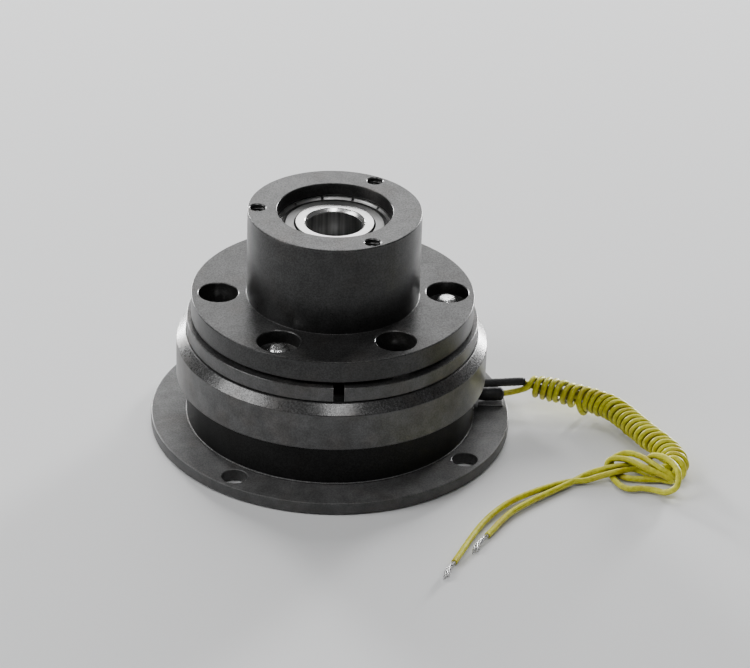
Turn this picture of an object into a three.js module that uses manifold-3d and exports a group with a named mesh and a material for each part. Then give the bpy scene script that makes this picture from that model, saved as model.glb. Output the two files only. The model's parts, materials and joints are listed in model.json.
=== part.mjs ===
// Flange-mounted electromagnetic clutch: a fixed coil housing, a rotor that is keyed to a shaft, and an
// output hub on two ball bearings that carries a spring-held armature plate. Millimetres, +Z up.
// Everything is built round the shaft axis, with z = 0 on the mounting face, and the finished clutch is then
// moved so that the origin is the middle of its whole footprint, leads included.
import * as THREE from "three";
import { mergeVertices } from "three/addons/utils/BufferGeometryUtils.js";
import Module from "manifold-3d";

const wasm = await Module();
wasm.setup();

// ---------------------------------------------------------------- driving dimensions
const SHAFT_AXIS_X = -24.9;
const SHAFT_AXIS_Y = 15;

const LARGE_RING_SIDES = 40;
const BEARING_SIDES = 20;
const COIL_SIDES = 24;
const HOLE_SIDES = 12;
const FASTENER_SIDES = 8;
const CUT_MARGIN = 1; // how far a cutting tool passes through the face it opens
const REST_GAP = 0.05; // between faces that rest on each other
const SEAT_GAP = 0.1; // radial room round a seated piece

const BORE_R = 7.5; // shaft bore, 15 mm
const SPACER_BORE_R = 7.6;

const FLANGE_R = 50;
const FLANGE_THICK = 3.4;
const FLANGE_EDGE_CHAMFER = 0.4;
const FLANGE_BORE_R = 17.5;
const MOUNT_HOLE_R = 3.5;
const MOUNT_HOLE_CIRCLE_R = 45;
const MOUNT_HOLE_FIRST_DEG = 56.5;
const MOUNT_HOLE_COUNT = 4;

const CORE_Z = FLANGE_THICK + REST_GAP;
const CORE_TOP_Z = 24.4;
const CORE_OUTER_R = 40;
const CORE_OUTER_WALL = 4.5;
const CORE_INNER_R = 17.5;
const CORE_INNER_WALL = 4.5;
const CORE_WEB_TOP_Z = 7;

const SCREW_CIRCLE_R = 28.75;
const SCREW_FIRST_DEG = 11.5;
const SCREW_COUNT = 4;
const SCREW_R = 1.9;
const SCREW_HEAD_R = 3.8;
const SCREW_HEAD_H = 1.9;
const SCREW_TIP_Z = 6.8;
const SCREW_DRIVE_R = 1.2;
const SCREW_DRIVE_DEPTH = 1.2;

const BOBBIN_INNER_R = 22.4;
const BOBBIN_OUTER_R = 35.1;
const BOBBIN_WALL = 1;
const BOBBIN_Z = 7.3;
const BOBBIN_TOP_Z = 22.5;
const WINDING_OUTER_R = 34.6;
const WINDING_GAP = 0.2;
const POTTING_INNER_R = 22.3;
const POTTING_OUTER_R = 35.2;
const POTTING_Z = 22.7;
const POTTING_TOP_Z = 24;

const LEAD_Y = 6.2; // both leads leave the core parallel to X at this distance from the axis
const UPPER_LEAD_Z = 9.6;
const LOWER_LEAD_Z = 6.1;
const LEAD_START_X = 36.4;
const SLEEVE_START_X = 36;
const WIRE_R = 0.75;
const STRAND_R = 0.5;
const BARED_LENGTH_A = 9;
const BARED_LENGTH_B = 7.5;
const SLEEVE_BORE_R = 1;
const UPPER_SLEEVE_R = 1.15;
const UPPER_SLEEVE_END_X = 54.5;
const LOWER_SLEEVE_R = 1.6;
const LOWER_SLEEVE_END_X = 48.5;
const GROMMET_WIDTH = 5.6;
const GROMMET_Z = 4.2;
const GROMMET_TOP_Z = 11.6;
const GROMMET_START_X = 35.4;
const GROMMET_END_X = 41.2;
const CLIP_WIDTH = 4.5;
const CLIP_THICK = 0.9;
const CLIP_START_X = 41.5;
const CLIP_END_X = 48.4;

const ROTOR_R = 43;
const ROTOR_TOP_Z = 28.9;
const ROTOR_SKIRT_Z = 15.9;
const ROTOR_SKIRT_INNER_R = 40.5;
const ROTOR_FACE_Z = 24.9;
const ROTOR_CHAMFER = 2.5;
const ROTOR_TUBE_R = 17;
const ROTOR_END_Z = 1.5;
const LINING_GROOVE_INNER_R = 27;
const LINING_GROOVE_OUTER_R = 36;
const LINING_GROOVE_DEPTH = 2;
const FLUX_SLOT_INNER_R = 30;
const FLUX_SLOT_OUTER_R = 32.5;
const FLUX_SLOT_COUNT = 4;
const FLUX_SLOT_DEG = 74;
const KEYWAY_WIDTH = 5;
const KEYWAY_DEPTH_R = 9.8;

const ARMATURE_INNER_R = 20;
const ARMATURE_R = 40.2;
const AIR_GAP = 0.3;
const ARMATURE_Z = ROTOR_TOP_Z + AIR_GAP;
const ARMATURE_THICK = 4.2;
const ARMATURE_TOP_Z = ARMATURE_Z + ARMATURE_THICK;
const ARMATURE_SLOT_WIDTH = 3;
const ARMATURE_SLOT_INNER_R = 28;

const SPRING_GAP = 1; // armature to output hub, filled by the leaf springs
const SPRING_THICK = 0.5;
const SPRING_WIDTH = 8;
const SPRING_WAIST = 5.6;
const SPRING_Z = ARMATURE_TOP_Z + (SPRING_GAP - SPRING_THICK) / 2;

const RIVET_CIRCLE_R = 31.5;
const HUB_RIVET_FIRST_DEG = 4;
const RIVET_COUNT = 3;
const SPRING_SPAN_DEG = 60; // from a spring's hub rivet to its armature rivet
const RIVET_SHANK_R = 1.5;
const RIVET_HOLE_R = 1.65;
const RIVET_COLLAR_R = 2.6;
const RIVET_COLLAR_H = 0.15;
const RIVET_TAIL_R = 2.9;
const RIVET_TAIL_H = 1.6;
const RIVET_TAIL_CHAMFER = 0.7;
const RIVET_SHOULDER_SHARE = 0.7; // of a hub rivet head's height that is straight-sided
const RIVET_TOP_SHARE = 0.6; // of a rivet head's radius that is flat on top
const HUB_RIVET_HEAD_R = 2.4;
const HUB_RIVET_HEAD_H = 2.4;
const ARMATURE_RIVET_HEAD_R = 3.4;
const ARMATURE_RIVET_HEAD_H = 1.8;
const RIVET_TAIL_POCKET_R = 4;
const COUNTERBORE_R = 5.9;
const COUNTERBORE_DEPTH = 3.8;
const CLEARANCE_HOLE_R = 5.5;

const HUB_FLANGE_R = 39;
const HUB_FLANGE_Z = ARMATURE_TOP_Z + SPRING_GAP;
const HUB_FLANGE_THICK = 6.2;
const HUB_FLANGE_TOP_Z = HUB_FLANGE_Z + HUB_FLANGE_THICK;
const BOSS_R = 23.8;
const HUB_TOP_Z = 66.1;
const HUB_EDGE_CHAMFER = 0.4;
const HUB_LIP_R = 15.8;
const HUB_LIP_H = 3.6;
const BEARING_SEAT_R = 17.6;
const TAPPED_HOLE_CIRCLE_R = 21;
const TAPPED_HOLE_R = 2.1;
const TAPPED_HOLE_DEPTH = 12;
const TAPPED_HOLE_COUNT = 3;
const TAPPED_HOLE_FIRST_DEG = 60;

const BEARING_R = 17.5;
const BEARING_WIDTH = 11;
const BALL_COUNT = 8;
const BALL_R = 2.95;
const BALL_CIRCLE_R = 12.62;
const RACEWAY_R = 3.2;
const RACEWAY_STEPS = 4;
const INNER_LAND_R = 10.8;
const OUTER_LAND_R = 14.5;
const SHIELD_SEAT_R = 15.45;
const SHIELD_SEAT_DEPTH = 1.2;
const SHIELD_THICK = 0.4;
const SHIELD_OFFSET = 0.65; // from a bearing's face to the shield's outer side
const SHIELD_INNER_R = 11.1;
const CAGE_INNER_R = 12;
const CAGE_OUTER_R = 13.25;
const CAGE_HALF_WIDTH = 3.9;
const CAGE_POCKET_R = 3.4;
const CAGE_POCKET_SIDES = 8;

const TOP_BEARING_TOP_Z = HUB_TOP_Z - HUB_LIP_H - REST_GAP;
const BEARING_SPACER_H = 2.5;
const BOTTOM_BEARING_TOP_Z = TOP_BEARING_TOP_Z - BEARING_WIDTH - BEARING_SPACER_H - 2 * REST_GAP;
const BOTTOM_BEARING_Z = BOTTOM_BEARING_TOP_Z - BEARING_WIDTH;
const SPACER_OUTER_R = 9.8;
const OUTER_SPACER_INNER_R = 15.4;
const AIR_GAP_SPACER_R = 10.3;
const RETAINING_RING_THICK = 1.5;
const RETAINING_RING_INNER_R = 15.9;
const RETAINING_RING_OUTER_R = 18.4;
const RETAINING_GROOVE_R = 18.7;
const RETAINING_RING_OPENING = 9;

// The hank: lead B is wound round lead A along this centre line.
const HANK_LINE = [
  [60.5, 9.6, 7.6],
  [65, 9.8, 6.6],
  [72, 7.4, 5],
  [79, 3.8, 4],
  [85, -2.8, 3.6],
  [90.2, -11.4, 3.6],
  [94.4, -19, 3.6],
];
const HANK_TURNS = 16;
const HANK_R = 2.6;
const HANK_STEPS_PER_TURN = 8;
const WIRE_SIDES = 5;
const FLOOR_WIRE_Z = 0.85;
const WIRE_STEP = 2.8; // length of one straight stretch of a modelled lead

// ---------------------------------------------------------------- materials
const material = (color, roughness, metalness) =>
  new THREE.MeshStandardMaterial({ color, roughness, metalness });

const blackenedSteel = material(0x3f4042, 0.38, 0.85);
const brightSteel = material(0xc6c8ca, 0.2, 1);
const springSteel = material(0x8f9194, 0.3, 1);
const zincSteel = material(0xb4b7ba, 0.3, 1);
const frictionMaterial = material(0x4a4038, 0.9, 0);
const bobbinPlastic = material(0x1d1d1f, 0.6, 0);
const copperWinding = material(0xa8592f, 0.4, 0.8);
const pottingResin = material(0x241c16, 0.5, 0);
const blackRubber = material(0x141414, 0.7, 0);
const yellowPvc = material(0xb7ae3c, 0.45, 0);
const tinnedCopper = material(0xc2b0a2, 0.35, 0.9);

// ---------------------------------------------------------------- geometry helpers
const radians = (degrees) => (degrees * Math.PI) / 180;

// A point at radius r and azimuth deg, measured from +X.
const polar = (r, deg) => [r * Math.cos(radians(deg)), r * Math.sin(radians(deg))];

// The three.js geometry as a manifold-3d solid.
function toSolid(geometry) {
  const bare = geometry.clone();
  bare.deleteAttribute("normal");
  bare.deleteAttribute("uv");
  const merged = mergeVertices(bare, 1e-4);
  const corners = merged.index.array;
  const kept = [];
  for (let i = 0; i < corners.length; i += 3) {
    const [a, b, c] = [corners[i], corners[i + 1], corners[i + 2]];
    if (a !== b && b !== c && c !== a) kept.push(a, b, c);
  }
  return new wasm.Manifold(
    new wasm.Mesh({
      numProp: 3,
      vertProperties: merged.attributes.position.array,
      triVerts: new Uint32Array(kept),
    }),
  );
}

// The solid as a three.js geometry with flat shading.
function toGeometry(solid) {
  const mesh = solid.getMesh();
  const geometry = new THREE.BufferGeometry();
  geometry.setAttribute("position", new THREE.BufferAttribute(mesh.vertProperties, 3));
  geometry.setIndex(new THREE.BufferAttribute(mesh.triVerts, 1));
  const flat = geometry.toNonIndexed();
  flat.computeVertexNormals();
  return flat;
}

const cut = (body, ...tools) => tools.reduce((left, tool) => left.subtract(tool), body);
const join = (...solids) => solids.reduce((sum, solid) => sum.add(solid));

// A closed outline of [radius, z] corners, given anticlockwise, turned round the Z axis.
function revolve(outline, sides) {
  const corners = outline.map(([r, z]) => new THREE.Vector2(r, z));
  corners.push(corners[0].clone());
  return toSolid(new THREE.LatheGeometry(corners, sides).rotateX(Math.PI / 2));
}

// A tube with a rectangular section.
const ring = (innerR, outerR, z0, z1, sides) =>
  revolve([[innerR, z0], [outerR, z0], [outerR, z1], [innerR, z1]], sides);

const disc = (r, z0, z1, sides) =>
  toSolid(new THREE.CylinderGeometry(r, r, z1 - z0, sides).rotateX(Math.PI / 2)).translate([
    0,
    0,
    (z0 + z1) / 2,
  ]);

const cone = (r0, r1, z0, z1, sides) =>
  toSolid(new THREE.CylinderGeometry(r1, r0, z1 - z0, sides).rotateX(Math.PI / 2)).translate([
    0,
    0,
    (z0 + z1) / 2,
  ]);

const block = (x0, x1, y0, y1, z0, z1) =>
  toSolid(new THREE.BoxGeometry(x1 - x0, y1 - y0, z1 - z0)).translate([
    (x0 + x1) / 2,
    (y0 + y1) / 2,
    (z0 + z1) / 2,
  ]);

// A cylinder along X.
const rod = (r, x0, x1, y, z, sides) =>
  toSolid(new THREE.CylinderGeometry(r, r, x1 - x0, sides).rotateZ(Math.PI / 2)).translate([
    (x0 + x1) / 2,
    y,
    z,
  ]);

const at = (solid, r, deg) => solid.translate([...polar(r, deg), 0]);

// Copies of one solid, evenly spread on a circle.
const onCircle = (solid, r, firstDeg, count) =>
  Array.from({ length: count }, (_, i) => at(solid, r, firstDeg + (i * 360) / count));

// A round bar along a smooth line through the points.
function bar(points, radius, step, sides) {
  const path = new THREE.CatmullRomCurve3(points.map((p) => new THREE.Vector3(...p)));
  const section = new THREE.Shape();
  for (let i = 0; i < sides; i++) {
    const turn = (i * 2 * Math.PI) / sides;
    const corner = [radius * Math.cos(turn), radius * Math.sin(turn)];
    if (i === 0) section.moveTo(...corner);
    else section.lineTo(...corner);
  }
  section.closePath();
  const steps = Math.ceil(path.getLength() / step);
  return toSolid(
    new THREE.ExtrudeGeometry(section, { steps, bevelEnabled: false, extrudePath: path }),
  );
}

const clutch = new THREE.Group();
clutch.position.set(SHAFT_AXIS_X, SHAFT_AXIS_Y, 0);

const stator = new THREE.Group();
const rotorGroup = new THREE.Group();
const hubGroup = new THREE.Group();
const armatureGroup = new THREE.Group();
const topBalls = new THREE.Group();
const bottomBalls = new THREE.Group();
clutch.add(stator, rotorGroup, hubGroup, armatureGroup, topBalls, bottomBalls);

function piece(group, name, solid, look) {
  const mesh = new THREE.Mesh(toGeometry(solid), look);
  mesh.name = name;
  group.add(mesh);
  return mesh;
}

// ---------------------------------------------------------------- stator
function mountingFlange() {
  const c = FLANGE_EDGE_CHAMFER;
  const plate = revolve(
    [
      [FLANGE_BORE_R, 0],
      [FLANGE_R - c, 0],
      [FLANGE_R, c],
      [FLANGE_R, FLANGE_THICK - c],
      [FLANGE_R - c, FLANGE_THICK],
      [FLANGE_BORE_R, FLANGE_THICK],
    ],
    LARGE_RING_SIDES,
  );
  const through = disc(MOUNT_HOLE_R, -CUT_MARGIN, FLANGE_THICK + CUT_MARGIN, HOLE_SIDES);
  const screwHole = join(
    disc(SCREW_R + SEAT_GAP, -CUT_MARGIN, FLANGE_THICK + CUT_MARGIN, FASTENER_SIDES),
    cone(SCREW_HEAD_R + SEAT_GAP, SCREW_R + SEAT_GAP, 0, SCREW_HEAD_H + SEAT_GAP, FASTENER_SIDES),
    disc(SCREW_HEAD_R + SEAT_GAP, -CUT_MARGIN, REST_GAP, FASTENER_SIDES),
  );
  return cut(
    plate,
    ...onCircle(through, MOUNT_HOLE_CIRCLE_R, MOUNT_HOLE_FIRST_DEG, MOUNT_HOLE_COUNT),
    ...onCircle(screwHole, SCREW_CIRCLE_R, SCREW_FIRST_DEG, SCREW_COUNT),
  );
}

function fieldCore() {
  const outerWallR = CORE_OUTER_R - CORE_OUTER_WALL;
  const innerWallR = CORE_INNER_R + CORE_INNER_WALL;
  const trough = revolve(
    [
      [CORE_INNER_R, CORE_Z],
      [CORE_OUTER_R, CORE_Z],
      [CORE_OUTER_R, CORE_TOP_Z],
      [outerWallR, CORE_TOP_Z],
      [outerWallR, CORE_WEB_TOP_Z],
      [innerWallR, CORE_WEB_TOP_Z],
      [innerWallR, CORE_TOP_Z],
      [CORE_INNER_R, CORE_TOP_Z],
    ],
    LARGE_RING_SIDES,
  );
  const halfSlot = GROMMET_WIDTH / 2 + SEAT_GAP;
  const leadSlot = block(
    outerWallR - CUT_MARGIN,
    CORE_OUTER_R + CUT_MARGIN,
    LEAD_Y - halfSlot,
    LEAD_Y + halfSlot,
    GROMMET_Z - SEAT_GAP,
    GROMMET_TOP_Z + SEAT_GAP,
  );
  const tappedHole = disc(SCREW_R + SEAT_GAP, 0, CORE_WEB_TOP_Z + CUT_MARGIN, FASTENER_SIDES);
  return cut(
    trough,
    leadSlot,
    ...onCircle(tappedHole, SCREW_CIRCLE_R, SCREW_FIRST_DEG, SCREW_COUNT),
  );
}

function countersunkScrew() {
  const body = revolve(
    [
      [0, REST_GAP],
      [SCREW_HEAD_R, REST_GAP],
      [SCREW_R, SCREW_HEAD_H],
      [SCREW_R, SCREW_TIP_Z],
      [0, SCREW_TIP_Z],
    ],
    FASTENER_SIDES,
  );
  return cut(body, disc(SCREW_DRIVE_R, 0, SCREW_DRIVE_DEPTH, 6));
}

function coilBobbin() {
  const hubR = BOBBIN_INNER_R + BOBBIN_WALL;
  return revolve(
    [
      [BOBBIN_INNER_R, BOBBIN_Z],
      [BOBBIN_OUTER_R, BOBBIN_Z],
      [BOBBIN_OUTER_R, BOBBIN_Z + BOBBIN_WALL],
      [hubR, BOBBIN_Z + BOBBIN_WALL],
      [hubR, BOBBIN_TOP_Z - BOBBIN_WALL],
      [BOBBIN_OUTER_R, BOBBIN_TOP_Z - BOBBIN_WALL],
      [BOBBIN_OUTER_R, BOBBIN_TOP_Z],
      [BOBBIN_INNER_R, BOBBIN_TOP_Z],
    ],
    COIL_SIDES,
  );
}

const coilWinding = () =>
  ring(
    BOBBIN_INNER_R + BOBBIN_WALL + WINDING_GAP,
    WINDING_OUTER_R,
    BOBBIN_Z + BOBBIN_WALL + WINDING_GAP,
    BOBBIN_TOP_Z - BOBBIN_WALL - WINDING_GAP,
    COIL_SIDES,
  );

const coilPotting = () =>
  ring(POTTING_INNER_R, POTTING_OUTER_R, POTTING_Z, POTTING_TOP_Z, COIL_SIDES);

function leadGrommet() {
  const half = GROMMET_WIDTH / 2;
  const plug = block(
    GROMMET_START_X,
    GROMMET_END_X,
    LEAD_Y - half,
    LEAD_Y + half,
    GROMMET_Z,
    GROMMET_TOP_Z,
  );
  const hole = (r, z) =>
    rod(r + SEAT_GAP, GROMMET_START_X - CUT_MARGIN, GROMMET_END_X + CUT_MARGIN, LEAD_Y, z, FASTENER_SIDES);
  return cut(plug, hole(UPPER_SLEEVE_R, UPPER_LEAD_Z), hole(LOWER_SLEEVE_R, LOWER_LEAD_Z));
}

const leadClip = () =>
  block(
    CLIP_START_X,
    CLIP_END_X,
    LEAD_Y - CLIP_WIDTH / 2,
    LEAD_Y + CLIP_WIDTH / 2,
    FLANGE_THICK + REST_GAP,
    FLANGE_THICK + REST_GAP + CLIP_THICK,
  );

const leadSleeve = (r, endX, z) =>
  cut(
    rod(r, SLEEVE_START_X, endX, LEAD_Y, z, FASTENER_SIDES),
    rod(SLEEVE_BORE_R, SLEEVE_START_X - CUT_MARGIN, endX + CUT_MARGIN, LEAD_Y, z, FASTENER_SIDES),
  );

const hankLine = new THREE.CatmullRomCurve3(HANK_LINE.map((p) => new THREE.Vector3(...p)));

// The points of a helix round the hank's centre line.
function hankHelix() {
  const steps = HANK_TURNS * HANK_STEPS_PER_TURN;
  const up = new THREE.Vector3(0, 0, 1);
  const points = [];
  for (let i = 0; i <= steps; i++) {
    const along = i / steps;
    const centre = hankLine.getPointAt(along);
    const side = new THREE.Vector3().crossVectors(hankLine.getTangentAt(along), up).normalize();
    const rise = new THREE.Vector3().crossVectors(side, hankLine.getTangentAt(along));
    const turn = along * HANK_TURNS * 2 * Math.PI;
    const point = centre
      .addScaledVector(side, HANK_R * Math.cos(turn))
      .addScaledVector(rise, HANK_R * Math.sin(turn));
    points.push(point.toArray());
  }
  return points;
}

// Lead A runs straight through the hank, round the outside of the loop and back to its bared end.
const leadLineA = [
  [LEAD_START_X, LEAD_Y, UPPER_LEAD_Z],
  [45, LEAD_Y, UPPER_LEAD_Z],
  [UPPER_SLEEVE_END_X, LEAD_Y, UPPER_LEAD_Z],
  [UPPER_SLEEVE_END_X + 2, LEAD_Y + 0.3, UPPER_LEAD_Z - 0.3],
  ...HANK_LINE,
  [98.6, -25.4, 2.6],
  [98.6, -30, FLOOR_WIRE_Z],
  [92.9, -33.7, FLOOR_WIRE_Z],
  [86.7, -34.1, FLOOR_WIRE_Z],
  [81.3, -32.4, FLOOR_WIRE_Z],
  [77.5, -28.4, FLOOR_WIRE_Z],
  [71.5, -27.6, FLOOR_WIRE_Z],
  [62.5, -32.6, FLOOR_WIRE_Z],
  [56.2, -37.2, FLOOR_WIRE_Z],
  [51.2, -44.7, FLOOR_WIRE_Z],
  [47.6, -50.8, FLOOR_WIRE_Z],
  [43.3, -59.2, FLOOR_WIRE_Z],
];

// Lead B is wound round lead A, then takes the inside of the loop.
const leadLineB = [
  [LEAD_START_X, LEAD_Y, LOWER_LEAD_Z],
  [42, LEAD_Y, LOWER_LEAD_Z],
  [LOWER_SLEEVE_END_X, LEAD_Y, LOWER_LEAD_Z],
  [54.5, 6.4, 5.6],
  ...hankHelix(),
  [93.2, -24.2, 1.6],
  [88.6, -19.8, FLOOR_WIRE_Z],
  [84.5, -17.2, FLOOR_WIRE_Z],
  [80.3, -18.4, FLOOR_WIRE_Z],
  [76, -22, FLOOR_WIRE_Z],
  [69.3, -25.8, FLOOR_WIRE_Z],
  [61.6, -29.6, FLOOR_WIRE_Z],
  [54.6, -34.4, FLOOR_WIRE_Z],
  [49.1, -41, FLOOR_WIRE_Z],
  [44.4, -49.3, FLOOR_WIRE_Z],
  [39.7, -58.1, FLOOR_WIRE_Z],
  [34.6, -72.7, FLOOR_WIRE_Z],
];

// The bared strands carry on from the end of a lead.
function baredEnd(line, length) {
  const end = new THREE.Vector3(...line.at(-1));
  const path = new THREE.CatmullRomCurve3(line.map((p) => new THREE.Vector3(...p)));
  const along = path.getTangent(1).setZ(0).normalize();
  const start = end.clone().addScaledVector(along, REST_GAP);
  const middle = end.clone().addScaledVector(along, length / 2);
  const tip = end.clone().addScaledVector(along, length);
  return bar([start.toArray(), middle.toArray(), tip.toArray()], STRAND_R, length / 2, WIRE_SIDES);
}

piece(stator, "mounting_flange", mountingFlange(), blackenedSteel);
piece(stator, "field_core", fieldCore(), blackenedSteel);
piece(stator, "coil_bobbin", coilBobbin(), bobbinPlastic);
piece(stator, "coil_winding", coilWinding(), copperWinding);
piece(stator, "coil_potting", coilPotting(), pottingResin);
onCircle(countersunkScrew(), SCREW_CIRCLE_R, SCREW_FIRST_DEG, SCREW_COUNT).forEach((screw, i) =>
  piece(stator, `core_screw_${i + 1}`, screw, zincSteel),
);
piece(stator, "lead_grommet", leadGrommet(), blackRubber);
piece(stator, "lead_clip", leadClip(), blackenedSteel);
piece(stator, "lead_sleeve_upper", leadSleeve(UPPER_SLEEVE_R, UPPER_SLEEVE_END_X, UPPER_LEAD_Z), blackRubber);
piece(stator, "lead_sleeve_lower", leadSleeve(LOWER_SLEEVE_R, LOWER_SLEEVE_END_X, LOWER_LEAD_Z), blackRubber);
piece(stator, "lead_wire_a", bar(leadLineA, WIRE_R, WIRE_STEP, WIRE_SIDES), yellowPvc);
piece(stator, "lead_wire_b", bar(leadLineB, WIRE_R, WIRE_STEP, WIRE_SIDES), yellowPvc);
piece(stator, "wire_strands_a", baredEnd(leadLineA, BARED_LENGTH_A), tinnedCopper);
piece(stator, "wire_strands_b", baredEnd(leadLineB, BARED_LENGTH_B), tinnedCopper);

// ---------------------------------------------------------------- rotor
function fluxSlot(firstDeg) {
  const shape = new THREE.Shape();
  const from = radians(firstDeg);
  const to = radians(firstDeg + FLUX_SLOT_DEG);
  shape.absarc(0, 0, FLUX_SLOT_OUTER_R, from, to, false);
  shape.absarc(0, 0, FLUX_SLOT_INNER_R, to, from, true);
  const floorZ = ROTOR_TOP_Z - LINING_GROOVE_DEPTH;
  const depth = floorZ - ROTOR_FACE_Z + 2 * CUT_MARGIN;
  const slot = new THREE.ExtrudeGeometry(shape, { depth, bevelEnabled: false, curveSegments: 8 });
  return toSolid(slot).translate([0, 0, ROTOR_FACE_Z - CUT_MARGIN]);
}

function rotor() {
  const grooveZ = ROTOR_TOP_Z - LINING_GROOVE_DEPTH;
  const body = revolve(
    [
      [BORE_R, ROTOR_END_Z],
      [ROTOR_TUBE_R, ROTOR_END_Z],
      [ROTOR_TUBE_R, ROTOR_FACE_Z],
      [ROTOR_SKIRT_INNER_R, ROTOR_FACE_Z],
      [ROTOR_SKIRT_INNER_R, ROTOR_SKIRT_Z],
      [ROTOR_R, ROTOR_SKIRT_Z],
      [ROTOR_R, ROTOR_TOP_Z - ROTOR_CHAMFER],
      [ROTOR_R - ROTOR_CHAMFER, ROTOR_TOP_Z],
      [LINING_GROOVE_OUTER_R, ROTOR_TOP_Z],
      [LINING_GROOVE_OUTER_R, grooveZ],
      [LINING_GROOVE_INNER_R, grooveZ],
      [LINING_GROOVE_INNER_R, ROTOR_TOP_Z],
      [BORE_R, ROTOR_TOP_Z],
    ],
    LARGE_RING_SIDES,
  );
  const half = KEYWAY_WIDTH / 2;
  const keyway = block(
    -half,
    half,
    0,
    KEYWAY_DEPTH_R,
    ROTOR_END_Z - CUT_MARGIN,
    ROTOR_TOP_Z + CUT_MARGIN,
  );
  const pitch = 360 / FLUX_SLOT_COUNT;
  const slots = Array.from({ length: FLUX_SLOT_COUNT }, (_, i) => fluxSlot(i * pitch));
  return cut(body, keyway, ...slots);
}

const frictionLining = () =>
  ring(
    LINING_GROOVE_INNER_R + SEAT_GAP,
    LINING_GROOVE_OUTER_R - SEAT_GAP,
    ROTOR_TOP_Z - LINING_GROOVE_DEPTH + REST_GAP,
    ROTOR_TOP_Z,
    LARGE_RING_SIDES,
  );

// Points on a raceway's arc, from low z to high z. side is 1 for the outer ring and -1 for the inner.
function raceway(middleZ, landR, side) {
  const half = Math.acos(Math.abs(landR - BALL_CIRCLE_R) / RACEWAY_R);
  return Array.from({ length: RACEWAY_STEPS + 1 }, (_, i) => {
    const turn = -half + (2 * half * i) / RACEWAY_STEPS;
    return [
      BALL_CIRCLE_R + side * RACEWAY_R * Math.cos(turn),
      middleZ + RACEWAY_R * Math.sin(turn),
    ];
  });
}

function innerRing(bottomZ) {
  const middleZ = bottomZ + BEARING_WIDTH / 2;
  const topZ = bottomZ + BEARING_WIDTH;
  return revolve(
    [
      [BORE_R, bottomZ],
      [INNER_LAND_R, bottomZ],
      ...raceway(middleZ, INNER_LAND_R, -1),
      [INNER_LAND_R, topZ],
      [BORE_R, topZ],
    ],
    BEARING_SIDES,
  );
}

function outerRing(bottomZ) {
  const middleZ = bottomZ + BEARING_WIDTH / 2;
  const topZ = bottomZ + BEARING_WIDTH;
  return revolve(
    [
      [SHIELD_SEAT_R, bottomZ],
      [BEARING_R, bottomZ],
      [BEARING_R, topZ],
      [SHIELD_SEAT_R, topZ],
      [SHIELD_SEAT_R, topZ - SHIELD_SEAT_DEPTH],
      [OUTER_LAND_R, topZ - SHIELD_SEAT_DEPTH],
      ...raceway(middleZ, OUTER_LAND_R, 1).reverse(),
      [OUTER_LAND_R, bottomZ + SHIELD_SEAT_DEPTH],
      [SHIELD_SEAT_R, bottomZ + SHIELD_SEAT_DEPTH],
    ],
    BEARING_SIDES,
  );
}

const shield = (bottomZ) =>
  ring(SHIELD_INNER_R, SHIELD_SEAT_R - SEAT_GAP, bottomZ, bottomZ + SHIELD_THICK, BEARING_SIDES);

const topBearingZ = TOP_BEARING_TOP_Z - BEARING_WIDTH;
const spacerZ = BOTTOM_BEARING_TOP_Z + REST_GAP;

piece(rotorGroup, "rotor", rotor(), blackenedSteel);
piece(rotorGroup, "friction_lining", frictionLining(), frictionMaterial);
piece(
  rotorGroup,
  "air_gap_spacer",
  ring(
    SPACER_BORE_R,
    AIR_GAP_SPACER_R,
    ROTOR_TOP_Z + REST_GAP,
    BOTTOM_BEARING_Z - REST_GAP,
    BEARING_SIDES,
  ),
  zincSteel,
);
piece(rotorGroup, "bottom_bearing_inner_ring", innerRing(BOTTOM_BEARING_Z), brightSteel);
piece(
  rotorGroup,
  "inner_ring_spacer",
  ring(SPACER_BORE_R, SPACER_OUTER_R, spacerZ, spacerZ + BEARING_SPACER_H, BEARING_SIDES),
  zincSteel,
);
piece(rotorGroup, "top_bearing_inner_ring", innerRing(topBearingZ), brightSteel);

// ---------------------------------------------------------------- balls and cages
function cage(middleZ) {
  const band = ring(
    CAGE_INNER_R,
    CAGE_OUTER_R,
    middleZ - CAGE_HALF_WIDTH,
    middleZ + CAGE_HALF_WIDTH,
    BEARING_SIDES,
  );
  const pockets = Array.from({ length: BALL_COUNT }, (_, i) =>
    rod(CAGE_POCKET_R, CAGE_INNER_R - CUT_MARGIN, CAGE_OUTER_R + CUT_MARGIN, 0, middleZ, CAGE_POCKET_SIDES)
      .rotate([0, 0, (i * 360) / BALL_COUNT]),
  );
  return cut(band, ...pockets);
}

function ballSet(group, prefix, bottomZ) {
  const middleZ = bottomZ + BEARING_WIDTH / 2;
  piece(group, `${prefix}_cage`, cage(middleZ), springSteel);
  const ball = toSolid(new THREE.IcosahedronGeometry(BALL_R, 1)).translate([0, 0, middleZ]);
  onCircle(ball, BALL_CIRCLE_R, 0, BALL_COUNT).forEach((one, i) =>
    piece(group, `${prefix}_ball_${i + 1}`, one, brightSteel),
  );
}

ballSet(topBalls, "top_bearing", topBearingZ);
ballSet(bottomBalls, "bottom_bearing", BOTTOM_BEARING_Z);

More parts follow.
